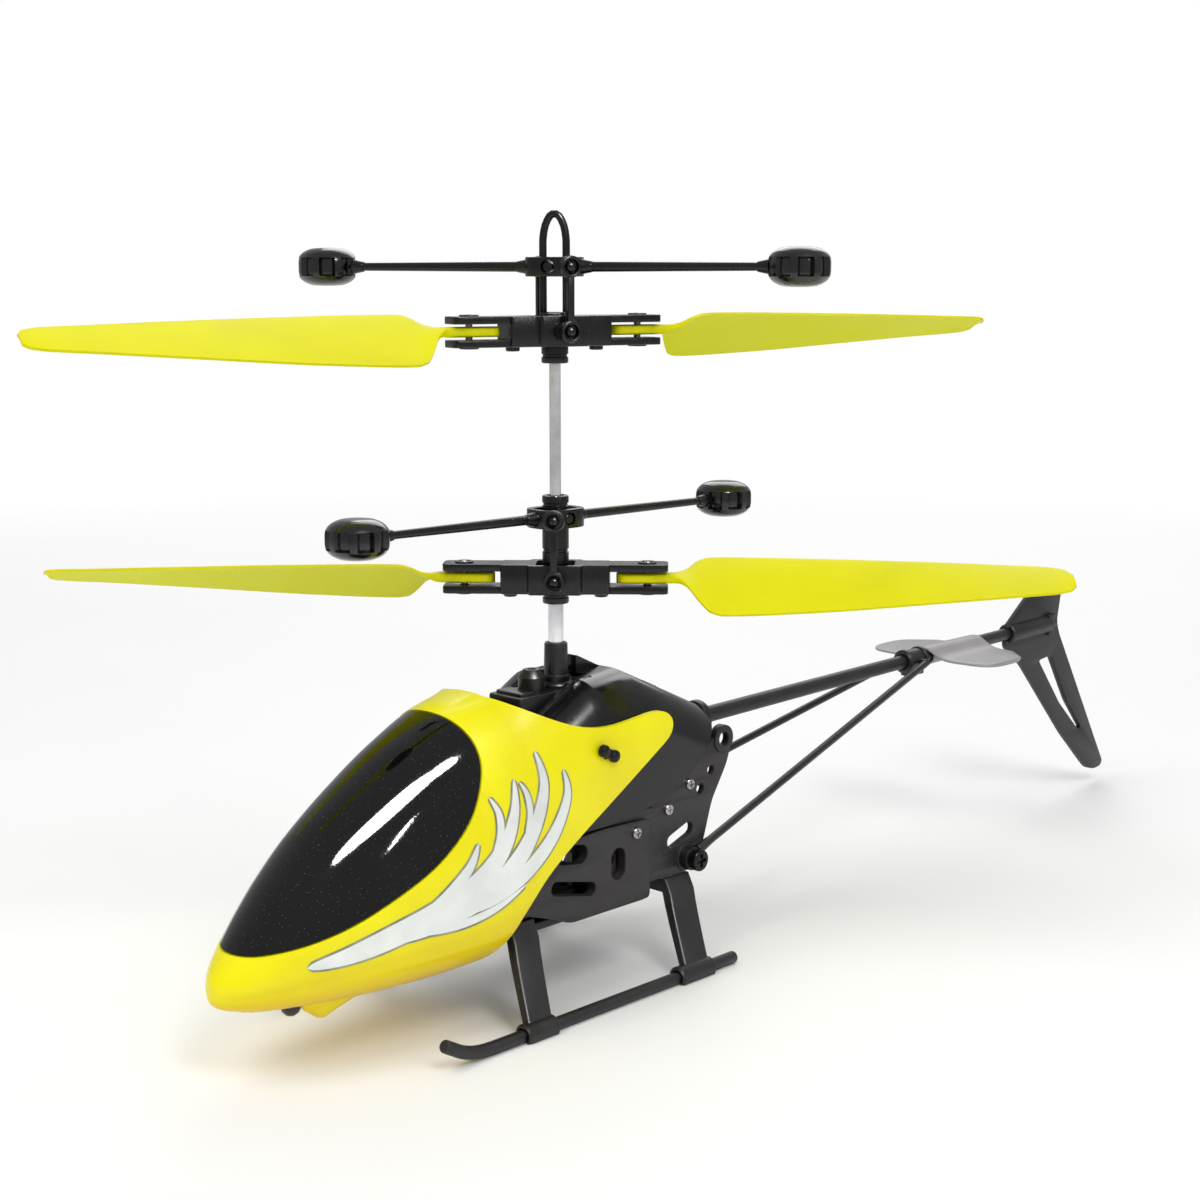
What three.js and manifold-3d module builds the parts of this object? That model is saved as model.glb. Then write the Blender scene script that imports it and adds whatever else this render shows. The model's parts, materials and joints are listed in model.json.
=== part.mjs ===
// A palm-size coaxial toy helicopter: two contra-rotating rotors on concentric shafts, each with
// a feathering blade holder and a weighted flybar, on a light plastic airframe with a boom tail.
// Millimetres. +X is the nose, +Y the left side, +Z up. The origin is where the rotor axis meets
// the flat underside of the belly plate.
import * as THREE from 'three';
import { mergeVertices } from 'three/addons/utils/BufferGeometryUtils.js';
import Module from 'manifold-3d';

const wasm = await Module();
wasm.setup();

// ---- Driving dimensions -------------------------------------------------------------------
const GROUND_Z = -12.2;          // underside of the landing skids
const GAP = 0.3;                 // air left between a piece and the one it rests on
const ROTOR_RADIUS = 81.5;

const FRAME_OUT = 11.1;          // outer face of a side frame plate, from the centre plane
const FRAME_IN = 9.9;            // its inner face
const PANEL_OUT = 11.8;          // face of the raised lower panel on each side frame
const FRAME_BOTTOM_REAR = 2.6;   // the rear of the side frames stands this far above the belly
const CROSS_HALF = 9.6;          // half width of everything that fits between the side frames

const STRUT_SCREW = { x: -19.0, z: 5.0 };
const TAB_HOLE = { x: -28.3, z: 23.4 };

const MODULE = 0.5;              // gear module
const GEAR_TEETH = 36;
const PINION_TEETH = 9;
const MOTOR_X = (MODULE * (GEAR_TEETH + PINION_TEETH)) / 2;
const UPPER_GEAR_Z = [22.4, 24.4];   // on the inner shaft
const LOWER_GEAR_Z = [26.6, 28.6];   // on the outer shaft
const INNER_SHAFT_R = 0.9;
const OUTER_SHAFT_R = 1.22;
const OUTER_SHAFT_BORE = 1.05;

const SKID_Y = 18.8;            // each skid bar, from the centre plane
const SKID_R = 1.0;
const SKID_SIDES = 12;            // one facet of the bar faces the ground
const SKID_Z = GROUND_Z + SKID_R * Math.cos(Math.PI / SKID_SIDES);

const BOOM_START = { x: -26.5, z: 24.2, r: 1.45 };
const BOOM_END = { x: -150, z: 26.4, r: 1.2 };

// Each head is drawn with its blade line along x and turned to its heading afterwards.
const LINK_R = 5.5;              // radius of the ball links, square to the blade line
const PIN_R = 14.5;              // radius of the blade pins
const LOWER = {
  name: 'lower', heading: -48, flybarTurn: 45, spin: 1,
  holderZ: 52.6, flybarZ: 62.2, columnZ: [48.5, 65.7],
};
const UPPER = {
  name: 'upper', heading: -19, flybarTurn: -45, spin: -1,
  holderZ: 91.3, flybarZ: 101.1, columnZ: [86.3, 94.0],
};

// ---- Materials ----------------------------------------------------------------------------
const FINISHES = {
  yellow: { color: 0xf2e600, roughness: 0.32, metalness: 0 },
  visor: { color: 0x0a0a0c, roughness: 0.12, metalness: 0 },
  black: { color: 0x1c1a1b, roughness: 0.55, metalness: 0 },
  glossBlack: { color: 0x0d0d10, roughness: 0.2, metalness: 0 },
  steel: { color: 0xd6d6d8, roughness: 0.25, metalness: 1 },
  motor: { color: 0xa7a7a2, roughness: 0.35, metalness: 1 },
  white: { color: 0xe8e6dc, roughness: 0.5, metalness: 0 },
  foil: { color: 0xb9bdc2, roughness: 0.4, metalness: 0.8 },
  board: { color: 0x1d5a34, roughness: 0.5, metalness: 0 },
};

// ---- Solids -------------------------------------------------------------------------------
function volumeOf(positions, index) {
  let volume = 0;
  for (let i = 0; i < index.length; i += 3) {
    const [a, b, c] = [0, 1, 2].map((k) => new THREE.Vector3().fromArray(positions, index[i + k] * 3));
    volume += a.dot(b.cross(c)) / 6;
  }
  return volume;
}

// A closed three.js geometry as a solid whose faces point outwards.
function solid(geometry) {
  const bare = geometry.clone();
  bare.deleteAttribute('normal');
  bare.deleteAttribute('uv');
  const merged = mergeVertices(bare, 1e-4);
  const positions = Float32Array.from(merged.attributes.position.array);
  const triangles = [];
  for (let i = 0; i < merged.index.count; i += 3) {
    const [a, b, c] = [0, 1, 2].map((k) => merged.index.getX(i + k));
    if (a !== b && b !== c && c !== a) {
      triangles.push(a, b, c);
    }
  }
  if (volumeOf(positions, triangles) < 0) {
    triangles.reverse();
  }
  const mesh = new wasm.Mesh({
    numProp: 3, vertProperties: positions, triVerts: Uint32Array.from(triangles),
  });
  return new wasm.Manifold(mesh);
}

const join = (...solids) => solids.reduce((sum, one) => sum.add(one));
const cut = (body, ...tools) => tools.reduce((rest, tool) => rest.subtract(tool), body);

// A box between two corners.
function box(low, high) {
  const size = high.map((value, k) => value - low[k]);
  const geometry = new THREE.BoxGeometry(...size);
  geometry.translate(...low.map((value, k) => value + size[k] / 2));
  return solid(geometry);
}

// A rod between two points, with its own radius at each end.
function rod(from, to, radiusFrom, radiusTo = radiusFrom, sides = 10) {
  const start = new THREE.Vector3(...from);
  const end = new THREE.Vector3(...to);
  const direction = end.clone().sub(start);
  const geometry = new THREE.CylinderGeometry(radiusTo, radiusFrom, direction.length(), sides);
  const turn = new THREE.Quaternion().setFromUnitVectors(
    new THREE.Vector3(0, 1, 0), direction.clone().normalize(),
  );
  geometry.applyQuaternion(turn);
  const middle = start.add(end).multiplyScalar(0.5);
  geometry.translate(middle.x, middle.y, middle.z);
  return solid(geometry);
}

function ball(centre, radius, detail = 7) {
  const geometry = new THREE.SphereGeometry(radius, detail, Math.round(detail * 0.7));
  geometry.translate(...centre);
  return solid(geometry);
}

// Stands a solid of revolution about z, from a profile of [radius, z] that starts and ends on the axis.
function turned(profile, segments = 16) {
  const points = profile.map(([radius, z]) => new THREE.Vector2(radius, z));
  const geometry = new THREE.LatheGeometry(points, segments);
  geometry.rotateX(Math.PI / 2);
  return solid(geometry);
}

const outline = (points) => new THREE.Shape(points.map(([a, b]) => new THREE.Vector2(a, b)));

// Extrudes a shape drawn in the side view (x, z) from y0 to y1.
function sidePlate(shape, y0, y1, curveSegments = 6) {
  const geometry = new THREE.ExtrudeGeometry(shape, { depth: y1 - y0, bevelEnabled: false, curveSegments });
  geometry.rotateX(Math.PI / 2);
  geometry.translate(0, y1, 0);
  return solid(geometry);
}

// Extrudes a shape drawn in the top view (x, y) from z0 to z1.
function flatPlate(shape, z0, z1, curveSegments = 6) {
  const geometry = new THREE.ExtrudeGeometry(shape, { depth: z1 - z0, bevelEnabled: false, curveSegments });
  geometry.translate(0, 0, z0);
  return solid(geometry);
}

// A rounded bar shape between two points, as wide as twice its radius.
function stadium([ax, ay], [bx, by], radius) {
  const angle = Math.atan2(by - ay, bx - ax);
  const shape = new THREE.Shape();
  shape.absarc(bx, by, radius, angle - Math.PI / 2, angle + Math.PI / 2, false);
  shape.absarc(ax, ay, radius, angle + Math.PI / 2, angle + 1.5 * Math.PI, false);
  return shape;
}

// A rounded rectangle about the origin.
function roundedRect(halfX, halfY, radius) {
  const shape = new THREE.Shape();
  shape.absarc(halfX - radius, halfY - radius, radius, 0, Math.PI / 2, false);
  shape.absarc(radius - halfX, halfY - radius, radius, Math.PI / 2, Math.PI, false);
  shape.absarc(radius - halfX, radius - halfY, radius, Math.PI, 1.5 * Math.PI, false);
  shape.absarc(halfX - radius, radius - halfY, radius, 1.5 * Math.PI, 2 * Math.PI, false);
  return shape;
}

// Skins a row of equal rings of points into one closed solid with a flat cap at each end.
function loft(rings) {
  const count = rings[0].length;
  const positions = rings.flat(2);
  const index = [];
  for (let ring = 0; ring < rings.length - 1; ring += 1) {
    for (let i = 0; i < count; i += 1) {
      const a = ring * count + i;
      const b = ring * count + ((i + 1) % count);
      index.push(a, b, b + count, a, b + count, a + count);
    }
  }
  const last = (rings.length - 1) * count;
  for (let i = 1; i < count - 1; i += 1) {
    index.push(0, i + 1, i, last, last + i, last + i + 1);
  }
  const geometry = new THREE.BufferGeometry();
  geometry.setAttribute('position', new THREE.Float32BufferAttribute(positions, 3));
  geometry.setIndex(index);
  return solid(geometry);
}

// A round tube of solid section along a path that stays in one plane square to y.
function bentRod(path, radius, sides) {
  const points = path.map((point) => new THREE.Vector3(...point));
  const side = new THREE.Vector3(0, 1, 0);
  const rings = points.map((point, k) => {
    const before = points[Math.max(k - 1, 0)];
    const after = points[Math.min(k + 1, points.length - 1)];
    const forward = after.clone().sub(before).normalize();
    const up = new THREE.Vector3().crossVectors(forward, side);
    return Array.from({ length: sides }, (_, i) => {
      const angle = (2 * Math.PI * (i + 0.5)) / sides;
      return point.clone()
        .addScaledVector(side, radius * Math.sin(angle))
        .addScaledVector(up, radius * Math.cos(angle))
        .toArray();
    });
  });
  return loft(rings);
}

const radians = (degrees) => (degrees * Math.PI) / 180;
const turnZ = (body, degrees) => body.rotate([0, 0, degrees]);
const mirrorY = (body) => body.mirror([0, 1, 0]);

// ---- The scene ----------------------------------------------------------------------------
const helicopter = new THREE.Group();

function addTo(group, name, body, finish) {
  const mesh = body.getMesh();
  const geometry = new THREE.BufferGeometry();
  geometry.setAttribute('position', new THREE.Float32BufferAttribute(mesh.vertProperties, 3));
  geometry.setIndex(Array.from(mesh.triVerts));
  geometry.computeVertexNormals();
  const piece = new THREE.Mesh(geometry, new THREE.MeshStandardMaterial(FINISHES[finish]));
  piece.name = name;
  group.add(piece);
}

// ---- Canopy and windshield ----------------------------------------------------------------
// Sections from nose to tail: x, half width, top, widest height, bottom, squareness of the top.
const CANOPY_SECTIONS = [
  [67.6, 0.8, 3.2, 1.6, 0.2, 2.0],
  [66.8, 2.6, 4.6, 1.8, -0.6, 2.0],
  [65.2, 4.4, 6.4, 2.1, -1.2, 2.1],
  [63.0, 6.0, 8.8, 2.5, -1.8, 2.1],
  [60.0, 7.5, 12.4, 3.0, -2.2, 2.1],
  [56.0, 9.0, 16.8, 3.6, -2.6, 2.1],
  [50.5, 10.5, 21.9, 4.3, -3.1, 2.1],
  [42.5, 12.2, 27.4, 5.0, -3.5, 2.2],
  [33.5, 13.6, 32.6, 5.6, -3.6, 2.3],
  [26.0, 14.5, 35.7, 6.4, -3.3, 2.5],
  [19.4, 14.9, 37.2, 7.8, -2.6, 2.7],
  [14.0, 14.9, 39.0, 9.2, -1.2, 3.0],
  [7.0, 14.8, 42.4, 10.6, 0, 3.0],
  [-2.0, 14.6, 44.6, 11.6, 2, 3.0],
  [-15.0, 14.4, 46.5, 12.5, 4, 3.0],
];
const CANOPY_WALL = 0.9;
const CHIN_SQUARENESS = 2.5;

function canopyRing([x, half, top, waist, bottom, squareness], inset, points = 22) {
  return Array.from({ length: points }, (_, i) => {
    const angle = (2 * Math.PI * i) / points;
    const [c, s] = [Math.cos(angle), Math.sin(angle)];
    const power = 2 / (s > 0 ? squareness : CHIN_SQUARENESS);
    const height = s > 0 ? top - inset - waist : waist - bottom - inset;
    return [
      x - (x > 60 ? inset : 0),
      (half - inset) * Math.sign(c) * Math.abs(c) ** power,
      waist + height * Math.sign(s) * Math.abs(s) ** power,
    ];
  });
}

const canopyBody = (inset) => loft(CANOPY_SECTIONS.map((section) => canopyRing(section, inset)));

// The rear edge of the canopy in side view: down the back of the roof, out along the ear to its
// rounded tip, and forward again down to the chin.
const canopyKeep = new THREE.Shape();
canopyKeep.moveTo(75, -6);
canopyKeep.lineTo(75, 45);
canopyKeep.lineTo(19.4, 45);
canopyKeep.lineTo(19.4, 37);
canopyKeep.bezierCurveTo(14, 34, 8, 30.5, 0, 30.8);
canopyKeep.bezierCurveTo(-5, 31, -8.5, 31.9, -10.8, 31.2);
canopyKeep.bezierCurveTo(-13.2, 30.4, -13.4, 28, -10.6, 26.4);
canopyKeep.lineTo(4.4, 18);
canopyKeep.bezierCurveTo(13.5, 13, 18.6, 9.6, 22, 4.2);
canopyKeep.lineTo(26.2, -2.4);
canopyKeep.lineTo(26.2, -6);

// The window opening in side view. It wraps right over the canopy.
const WINDOW_POINTS = [
  [72, 12.0], [66.3, 7.1], [60, 7.3], [51.3, 9.2], [43.5, 12.2], [36, 16.0],
  [30.2, 21.0], [26.8, 27.0], [26.0, 31.0], [26.8, 34.4], [29.0, 38], [32.5, 42],
];

function windowShape(inset) {
  const curve = new THREE.CatmullRomCurve3(WINDOW_POINTS.map(([x, z]) => new THREE.Vector3(x, 0, z)));
  const edge = curve.getPoints(18).map((point, k) => {
    const along = curve.getTangent(k / 18);
    return [point.x + along.z * inset, point.z - along.x * inset];
  });
  return outline([...edge, [74, 42]]);
}

const canopyWindow = sidePlate(windowShape(0), -20, 20);
const IR_WINDOW = { x: 56.5, y: 3.2, r: 1.5 };
const EAR_STUD = { x: 3.2, z: 27.0 };
const chinLug = rod([52.6, 4, -1], [51.6, 4, -5.2], 1.5, 0.5, 8);
const canopyShell = cut(
  join(canopyBody(0).intersect(sidePlate(canopyKeep, -20, 20, 5)), chinLug),
  canopyBody(CANOPY_WALL),
  canopyWindow,
  rod([IR_WINDOW.x, IR_WINDOW.y, -6], [IR_WINDOW.x, IR_WINDOW.y, 0], IR_WINDOW.r + GAP),
  rod([EAR_STUD.x, -20, EAR_STUD.z], [EAR_STUD.x, 20, EAR_STUD.z], 1.0),
);
addTo(helicopter, 'canopy_shell', canopyShell, 'yellow');

const WINDSHIELD_RECESS = 0.12;
const windshield = cut(
  canopyBody(WINDSHIELD_RECESS).intersect(sidePlate(windowShape(GAP), -20, 20)),
  canopyBody(CANOPY_WALL),
);
addTo(helicopter, 'windshield', windshield, 'visor');

// A twin-headed stud holds each canopy ear to the frame behind it.
const canopyStud = join(
  rod([EAR_STUD.x, 12.8, EAR_STUD.z], [EAR_STUD.x, 14.8, EAR_STUD.z], 0.7, 0.7, 12),
  ...[1, -1].map((end) => {
    const [x, z] = [EAR_STUD.x + 1.1 * end, EAR_STUD.z + 0.6 * end];
    return rod([x, 14.5, z], [x, 15.3, z], 0.95, 0.7, 12);
  }),
  box([EAR_STUD.x - 0.6, 14.5, EAR_STUD.z - 0.6], [EAR_STUD.x + 0.6, 15.0, EAR_STUD.z + 0.6]),
);
addTo(helicopter, 'canopy_stud_left', canopyStud, 'black');
addTo(helicopter, 'canopy_stud_right', mirrorY(canopyStud), 'black');

// ---- Side frames --------------------------------------------------------------------------
// The ridge of the upper cover: level round the mast, then falling to the tail.
const RIDGE = { x: -8.6, z: 37.4, slope: 0.45 };
const roofHeight = (x) => RIDGE.z + RIDGE.slope * Math.min(x - RIDGE.x, 0);

function sideFrame() {
  const plate = sidePlate(outline([
    [20.5, 3.2], [20.5, 13.8], [5, 14.4], [3.4, 27.9], [-8.6, 27.9], [-22.4, 21.6],
    [-26.2, 24.0], [-28.3, 25.8], [-30.4, 23.6], [-29.4, 19.2], [-25.6, 13.4], [-23.2, 6.1],
    [-21.8, FRAME_BOTTOM_REAR], [-9.6, FRAME_BOTTOM_REAR], [-9.6, 0], [8, 0], [15.8, 3.2],
  ]), FRAME_IN, FRAME_OUT);
  const panel = sidePlate(outline([
    [19.6, 4.2], [19.6, 13.2], [1.0, 14.0], [-9.4, 13.6], [-9.6, 0.4], [8, 0.4],
  ]), FRAME_OUT - 0.2, PANEL_OUT);
  const bosses = [[TAB_HOLE, 2.35], [STRUT_SCREW, 2.3]].map(
    ([{ x, z }, r]) => rod([x, FRAME_IN, z], [x, FRAME_OUT, z], r, r, 16),
  );
  const holes = [
    [TAB_HOLE.x, TAB_HOLE.z, 1.2], [-25.2, 18.6, 0.8], [-22.6, 15.9, 0.9],
    [STRUT_SCREW.x, STRUT_SCREW.z, 0.8],
  ].map(([x, z, r]) => rod([x, 9, z], [x, 13, z], r));
  const slots = [
    [[-15.6, 8.3], [-19.6, 9.7], 1.1],
    [[-2.1, 6.6], [-2.1, 8.6], 1.6],
    [[4.2, 4.9], [11.8, 6.6], 1.1],
    [[6.4, 11.0], [10.2, 11.6], 1.5],
  ].map(([from, to, r]) => sidePlate(stadium(from, to, r), 9, 13, 3));
  return cut(join(plate, panel, ...bosses), ...holes, ...slots);
}

addTo(helicopter, 'side_frame_left', sideFrame(), 'black');
addTo(helicopter, 'side_frame_right', mirrorY(sideFrame()), 'black');

addTo(helicopter, 'belly_plate', cut(
  box([-9.4, -CROSS_HALF, 0], [15.6, CROSS_HALF, 1.2]),
  ...[-1, 1].flatMap((side) => [-6, 12].map(
    (x) => rod([x, side * 6.5, -1], [x, side * 6.5, 2], 0.9, 0.9, 12),
  )),
), 'black');

// ---- Upper cover: a glossy fairing over the gears, open below, in front and behind ---------
// Sections: x, half width, top, half width of the flat ridge.
const COVER_SECTIONS = [
  [14.5, 10.7, 29.8, 4.0], [8.0, 12.1, 32.6, 4.0], [2.4, 12.3, 36.0, 4.4], [0.5, 12.3, 37.0, 4.6],
  [RIDGE.x, 12.3, RIDGE.z, 3.4], [-26.0, 12.3, roofHeight(-26), 2.6],
];
const COVER_WALL = 0.7;
const COVER_SHOULDER = 8.5;       // height from the cover's upright side to its ridge

function coverRing([x, half, top, flat], inset, reach) {
  const corner = [0, 1, 2, 3, 4].map((k) => radians(22.5 * k));
  const wide = half - inset - flat;
  const left = corner.map((a) => [
    flat + wide * Math.cos(a) ** 0.8, top - inset - COVER_SHOULDER * (1 - Math.sin(a) ** 1.1),
  ]);
  const arch = [[half - inset, 8 - inset], ...left];
  const mirrored = arch.map(([y, z]) => [-y, z]).reverse();
  return [...arch, ...mirrored].map(([y, z]) => [x + reach, y, z]);
}

function coverBody(inset, reach) {
  const last = COVER_SECTIONS.length - 1;
  return loft(COVER_SECTIONS.map((section, k) => {
    const overrun = (k === 0 ? reach : 0) - (k === last ? reach : 0);
    return coverRing(section, inset, overrun);
  }));
}

const coverSkirt = new THREE.Shape();
coverSkirt.moveTo(16, 45);
coverSkirt.lineTo(16, 16.5);
coverSkirt.lineTo(8, 14.6);
coverSkirt.bezierCurveTo(-5, 14.0, -15, 16.0, -21, 21.3);
coverSkirt.lineTo(-26.2, 26.4);
coverSkirt.lineTo(-28, 45);
const MAST_WELL = { front: 11.8, back: -2.6, half: 4.0 };
// A narrow fin carries the line of the ridge on up to the mast.
const ridgeFin = sidePlate(outline([
  [-12.5, roofHeight(-12.5) - 0.3], [-3.0, 39.9], [-3.0, 37.0], [-9, 36.9],
]), -1.6, 1.6);
addTo(helicopter, 'upper_cover', cut(
  join(coverBody(0, 0).intersect(sidePlate(coverSkirt, -15, 15)), ridgeFin),
  coverBody(COVER_WALL, 2),
  box([MAST_WELL.back, -MAST_WELL.half, 30], [MAST_WELL.front, MAST_WELL.half, 45]),
), 'glossBlack');

addTo(helicopter, 'mast_bearing', cut(
  join(
    box([-3.5, -CROSS_HALF, 29.7], [3.5, CROSS_HALF, 31.4]),
    box(
      [MAST_WELL.back + GAP, GAP - MAST_WELL.half, 31],
      [MAST_WELL.front - GAP, MAST_WELL.half - GAP, 35.2],
    ),
    rod([0, 0, 35], [0, 0, 42.2], 1.95, 1.85, 16),
    rod([0, 0, 35], [0, 0, 36.8], 2.3, 2.3, 16),
    rod([5.4, 0, 35], [5.4, 0, 37.6], 2.2, 2.2, 12),
    rod([5.4, 0, 37.5], [5.4, 0, 38.6], 2.2, 1.4, 12),
  ),
  rod([0, 0, 29], [0, 0, 43], OUTER_SHAFT_R + 0.2, OUTER_SHAFT_R + 0.2, 16),
), 'black');

// ---- Drive --------------------------------------------------------------------------------
// A spur gear about z. The teeth are straight-sided and slim, so a pair runs with backlash.
function gear(teeth, [z0, z1], boreRadius) {
  const pitch = (MODULE * teeth) / 2;
  const stepAngle = (2 * Math.PI) / teeth;
  const corners = [[pitch - 0.68, 0.44], [pitch + 0.43, 0.13]];
  const points = [];
  for (let tooth = 0; tooth < teeth; tooth += 1) {
    const middle = tooth * stepAngle;
    corners.forEach(([r, half]) => points.push([r, middle - half / r]));
    corners.slice().reverse().forEach(([r, half]) => points.push([r, middle + half / r]));
  }
  const shape = outline(points.map(([r, a]) => [r * Math.cos(a), r * Math.sin(a)]));
  const body = flatPlate(shape, z0, z1);
  return boreRadius ? body.subtract(rod([0, 0, z0 - 1], [0, 0, z1 + 1], boreRadius)) : body;
}

// A main gear with a hub and a ring of lightening holes.
function mainGear([z0, z1], boreRadius) {
  const holes = Array.from({ length: 5 }, (_, k) => {
    const angle = radians(72 * k);
    const [x, y] = [5.4 * Math.cos(angle), 5.4 * Math.sin(angle)];
    return rod([x, y, z0 - 1], [x, y, z1 + 1], 1.5, 1.5, 8);
  });
  const hub = rod([0, 0, z0 - 0.7], [0, 0, z1 + 0.7], 2.6, 2.6, 12);
  const bore = rod([0, 0, z0 - 2], [0, 0, z1 + 2], boreRadius, boreRadius, 12);
  return cut(join(gear(GEAR_TEETH, [z0, z1]), hub), bore, ...holes);
}

// A pinion on its motor shaft. A tooth gap faces the main gear's tooth at rest.
function pinion(x, [z0, z1]) {
  const teeth = turnZ(gear(PINION_TEETH, [z0, z1]), x > 0 ? 180 : 0);
  return join(teeth, rod([0, 0, 15], [0, 0, z1 + 0.6], 0.5, 0.5, 12)).translate([x, 0, 0]);
}

function motor(x) {
  const can = turned([[0, 5], [3.0, 5], [3.5, 5.6], [3.5, 19.4], [3.2, 20], [0, 20]], 16);
  const endCap = rod([0, 0, 4.7], [0, 0, 6], 2.2);
  return cut(join(can, endCap), rod([0, 0, 14.5], [0, 0, 21], 0.8, 0.8, 8)).translate([x, 0, 0]);
}

addTo(helicopter, 'motor_plate', cut(
  box([-16, -CROSS_HALF, 20.3], [16, CROSS_HALF, 21.4]),
  rod([0, 0, 20], [0, 0, 22], 1.6),
  ...[-MOTOR_X, MOTOR_X].map((x) => rod([x, 0, 20], [x, 0, 22], 1.3)),
), 'black');
addTo(helicopter, 'motor_front', motor(MOTOR_X), 'motor');
addTo(helicopter, 'motor_rear', motor(-MOTOR_X), 'motor');
addTo(helicopter, 'pinion_front', pinion(MOTOR_X, [26.4, 28.8]), 'white');
addTo(helicopter, 'pinion_rear', pinion(-MOTOR_X, [22.2, 24.6]), 'white');
addTo(helicopter, 'foot_bearing', cut(
  join(rod([0, 0, 1.5], [0, 0, 5.6], 2.2, 2.0, 14), rod([0, 0, 1.5], [0, 0, 2.4], 3.1, 3.1, 14)),
  rod([0, 0, 2.0], [0, 0, 6], 1.15, 1.15, 12),
), 'black');

// ---- Electrics ----------------------------------------------------------------------------
addTo(helicopter, 'equipment_tray', join(
  flatPlate(outline([[4.6, -8.5], [44, -8.5], [55, -5], [55, 5], [44, 8.5], [4.6, 8.5]]), 3.4, 4.4),
  box([22.0, -8.5, 4.2], [23.2, 8.5, 16.2]),
), 'black');
const cell = flatPlate(roundedRect(13, 7.2, 1.6), 4.8, 11.8, 3);
addTo(helicopter, 'battery', cell.translate([37.5, 0, 0]), 'foil');
addTo(helicopter, 'receiver_board', join(
  box([23.6, -7.8, 13.2], [48, 7.8, 14.2]),
  box([28, -3, 14], [34, 3, 15.3]),
  box([38, -6, 14], [41.5, -2, 15.6]),
  rod([44, 4, 14], [44, 4, 17.5], 1.8),
), 'board');
addTo(helicopter, 'infrared_sensor', join(
  rod([IR_WINDOW.x, IR_WINDOW.y, -2.2], [IR_WINDOW.x, IR_WINDOW.y, 3.0], IR_WINDOW.r),
  ball([IR_WINDOW.x, IR_WINDOW.y, -2.2], IR_WINDOW.r, 12),
), 'glossBlack');
addTo(helicopter, 'charge_socket', cut(
  box([-5.6, 4.8, 2.2], [1.4, CROSS_HALF, 12.6]),
  rod([-2.1, 6, 7.6], [-2.1, 12, 7.6], 1.25),
), 'black');

// The power switch is a slider behind the right side frame, with its knob out through the slot.
const SWITCH_X = 6.2;
addTo(helicopter, 'power_switch', join(
  box([SWITCH_X - 2.4, -CROSS_HALF, 3.6 + 0.3], [SWITCH_X + 2.4, -8.8, 7.2]),
  rod([SWITCH_X, -9, 5.35], [SWITCH_X, -12.8, 5.35], 0.7, 0.6, 12),
), 'white');

// ---- Landing gear -------------------------------------------------------------------------
// One moulded arch: a cross bar under the frame, two splayed legs and a foot sleeve on each.
function legArch(top, bottom, barZ, sleeveX) {
  const [footIn, footOut] = [SKID_Y - 0.8, SKID_Y + 0.8];
  const bar = box([top[0], -11.2, barZ[0]], [top[1], 11.2, barZ[1]]);
  const leg = loft([
    [[top[0], 9.6, barZ[1]], [top[1], 9.6, barZ[1]], [top[1], 11.4, barZ[1]], [top[0], 11.4, barZ[1]]],
    [[top[0], 10.6, barZ[0]], [top[1], 10.6, barZ[0]], [top[1], 12.6, barZ[0]], [top[0], 12.6, barZ[0]]],
    [
      [bottom[0], footIn, -10.4], [bottom[1], footIn, -10.4],
      [bottom[1], footOut, -10.4], [bottom[0], footOut, -10.4],
    ],
  ]);
  const roundBar = (overrun, r) => rod(
    [sleeveX[0] - overrun, SKID_Y, SKID_Z], [sleeveX[1] + overrun, SKID_Y, SKID_Z], r, r, 14,
  );
  const flatFoot = box(
    [sleeveX[0] - 1, SKID_Y - 3, GROUND_Z - 2], [sleeveX[1] + 1, SKID_Y + 3, GROUND_Z + 0.1],
  );
  const side = cut(join(leg, roundBar(0, SKID_R + 0.75)), roundBar(1, SKID_R + GAP), flatFoot);
  return join(bar, side, mirrorY(side));
}

const frontLegs = legArch([16.2, 21.5], [20.3, 25.2], [0.3, 2.9], [19.6, 26.0]);
const rearLegs = legArch([-19.6, -13.6], [-15.4, -9.8], [0, 2.3], [-16.2, -8.2]);
addTo(helicopter, 'front_leg_arch', frontLegs, 'black');
addTo(helicopter, 'rear_leg_arch', rearLegs, 'black');

const skid = bentRod([
  [-22.5, SKID_Y, SKID_Z], [34.0, SKID_Y, SKID_Z], [36.4, SKID_Y, SKID_Z + 0.35],
  [38.6, SKID_Y, SKID_Z + 1.2], [41.6, SKID_Y, SKID_Z + 3.0],
], SKID_R, SKID_SIDES);
addTo(helicopter, 'skid_left', skid, 'black');
addTo(helicopter, 'skid_right', mirrorY(skid), 'black');

// ---- Tail ---------------------------------------------------------------------------------
const boomSlope = (BOOM_END.z - BOOM_START.z) / (BOOM_END.x - BOOM_START.x);
const boomZ = (x) => BOOM_START.z + boomSlope * (x - BOOM_START.x);
const boomR = (x) => BOOM_START.r
  + ((BOOM_END.r - BOOM_START.r) * (x - BOOM_START.x)) / (BOOM_END.x - BOOM_START.x);
const onBoom = (x) => [x, 0, boomZ(x)];
const boomSleeve = (x0, x1, wall) => rod(onBoom(x0), onBoom(x1), boomR(x0) + wall, boomR(x1) + wall, 14);
const boomBore = (x0, x1) => boomSleeve(x0 + 1, x1 - 1, 0.25);

addTo(helicopter, 'tail_boom', boomSleeve(BOOM_START.x, BOOM_END.x, 0), 'black');

addTo(helicopter, 'boom_socket', cut(
  join(
    box([-25.6, -9.5, 15.6], [-24.4, 9.5, 25.2]),
    boomSleeve(-24.8, -35, 1.3),
    box([-34, -0.6, 20.0], [-25, 0.6, 24.2]),
  ),
  rod(onBoom(-25.8), onBoom(-36), BOOM_START.r + 0.25, BOOM_START.r + 0.2, 14),
), 'black');

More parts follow.
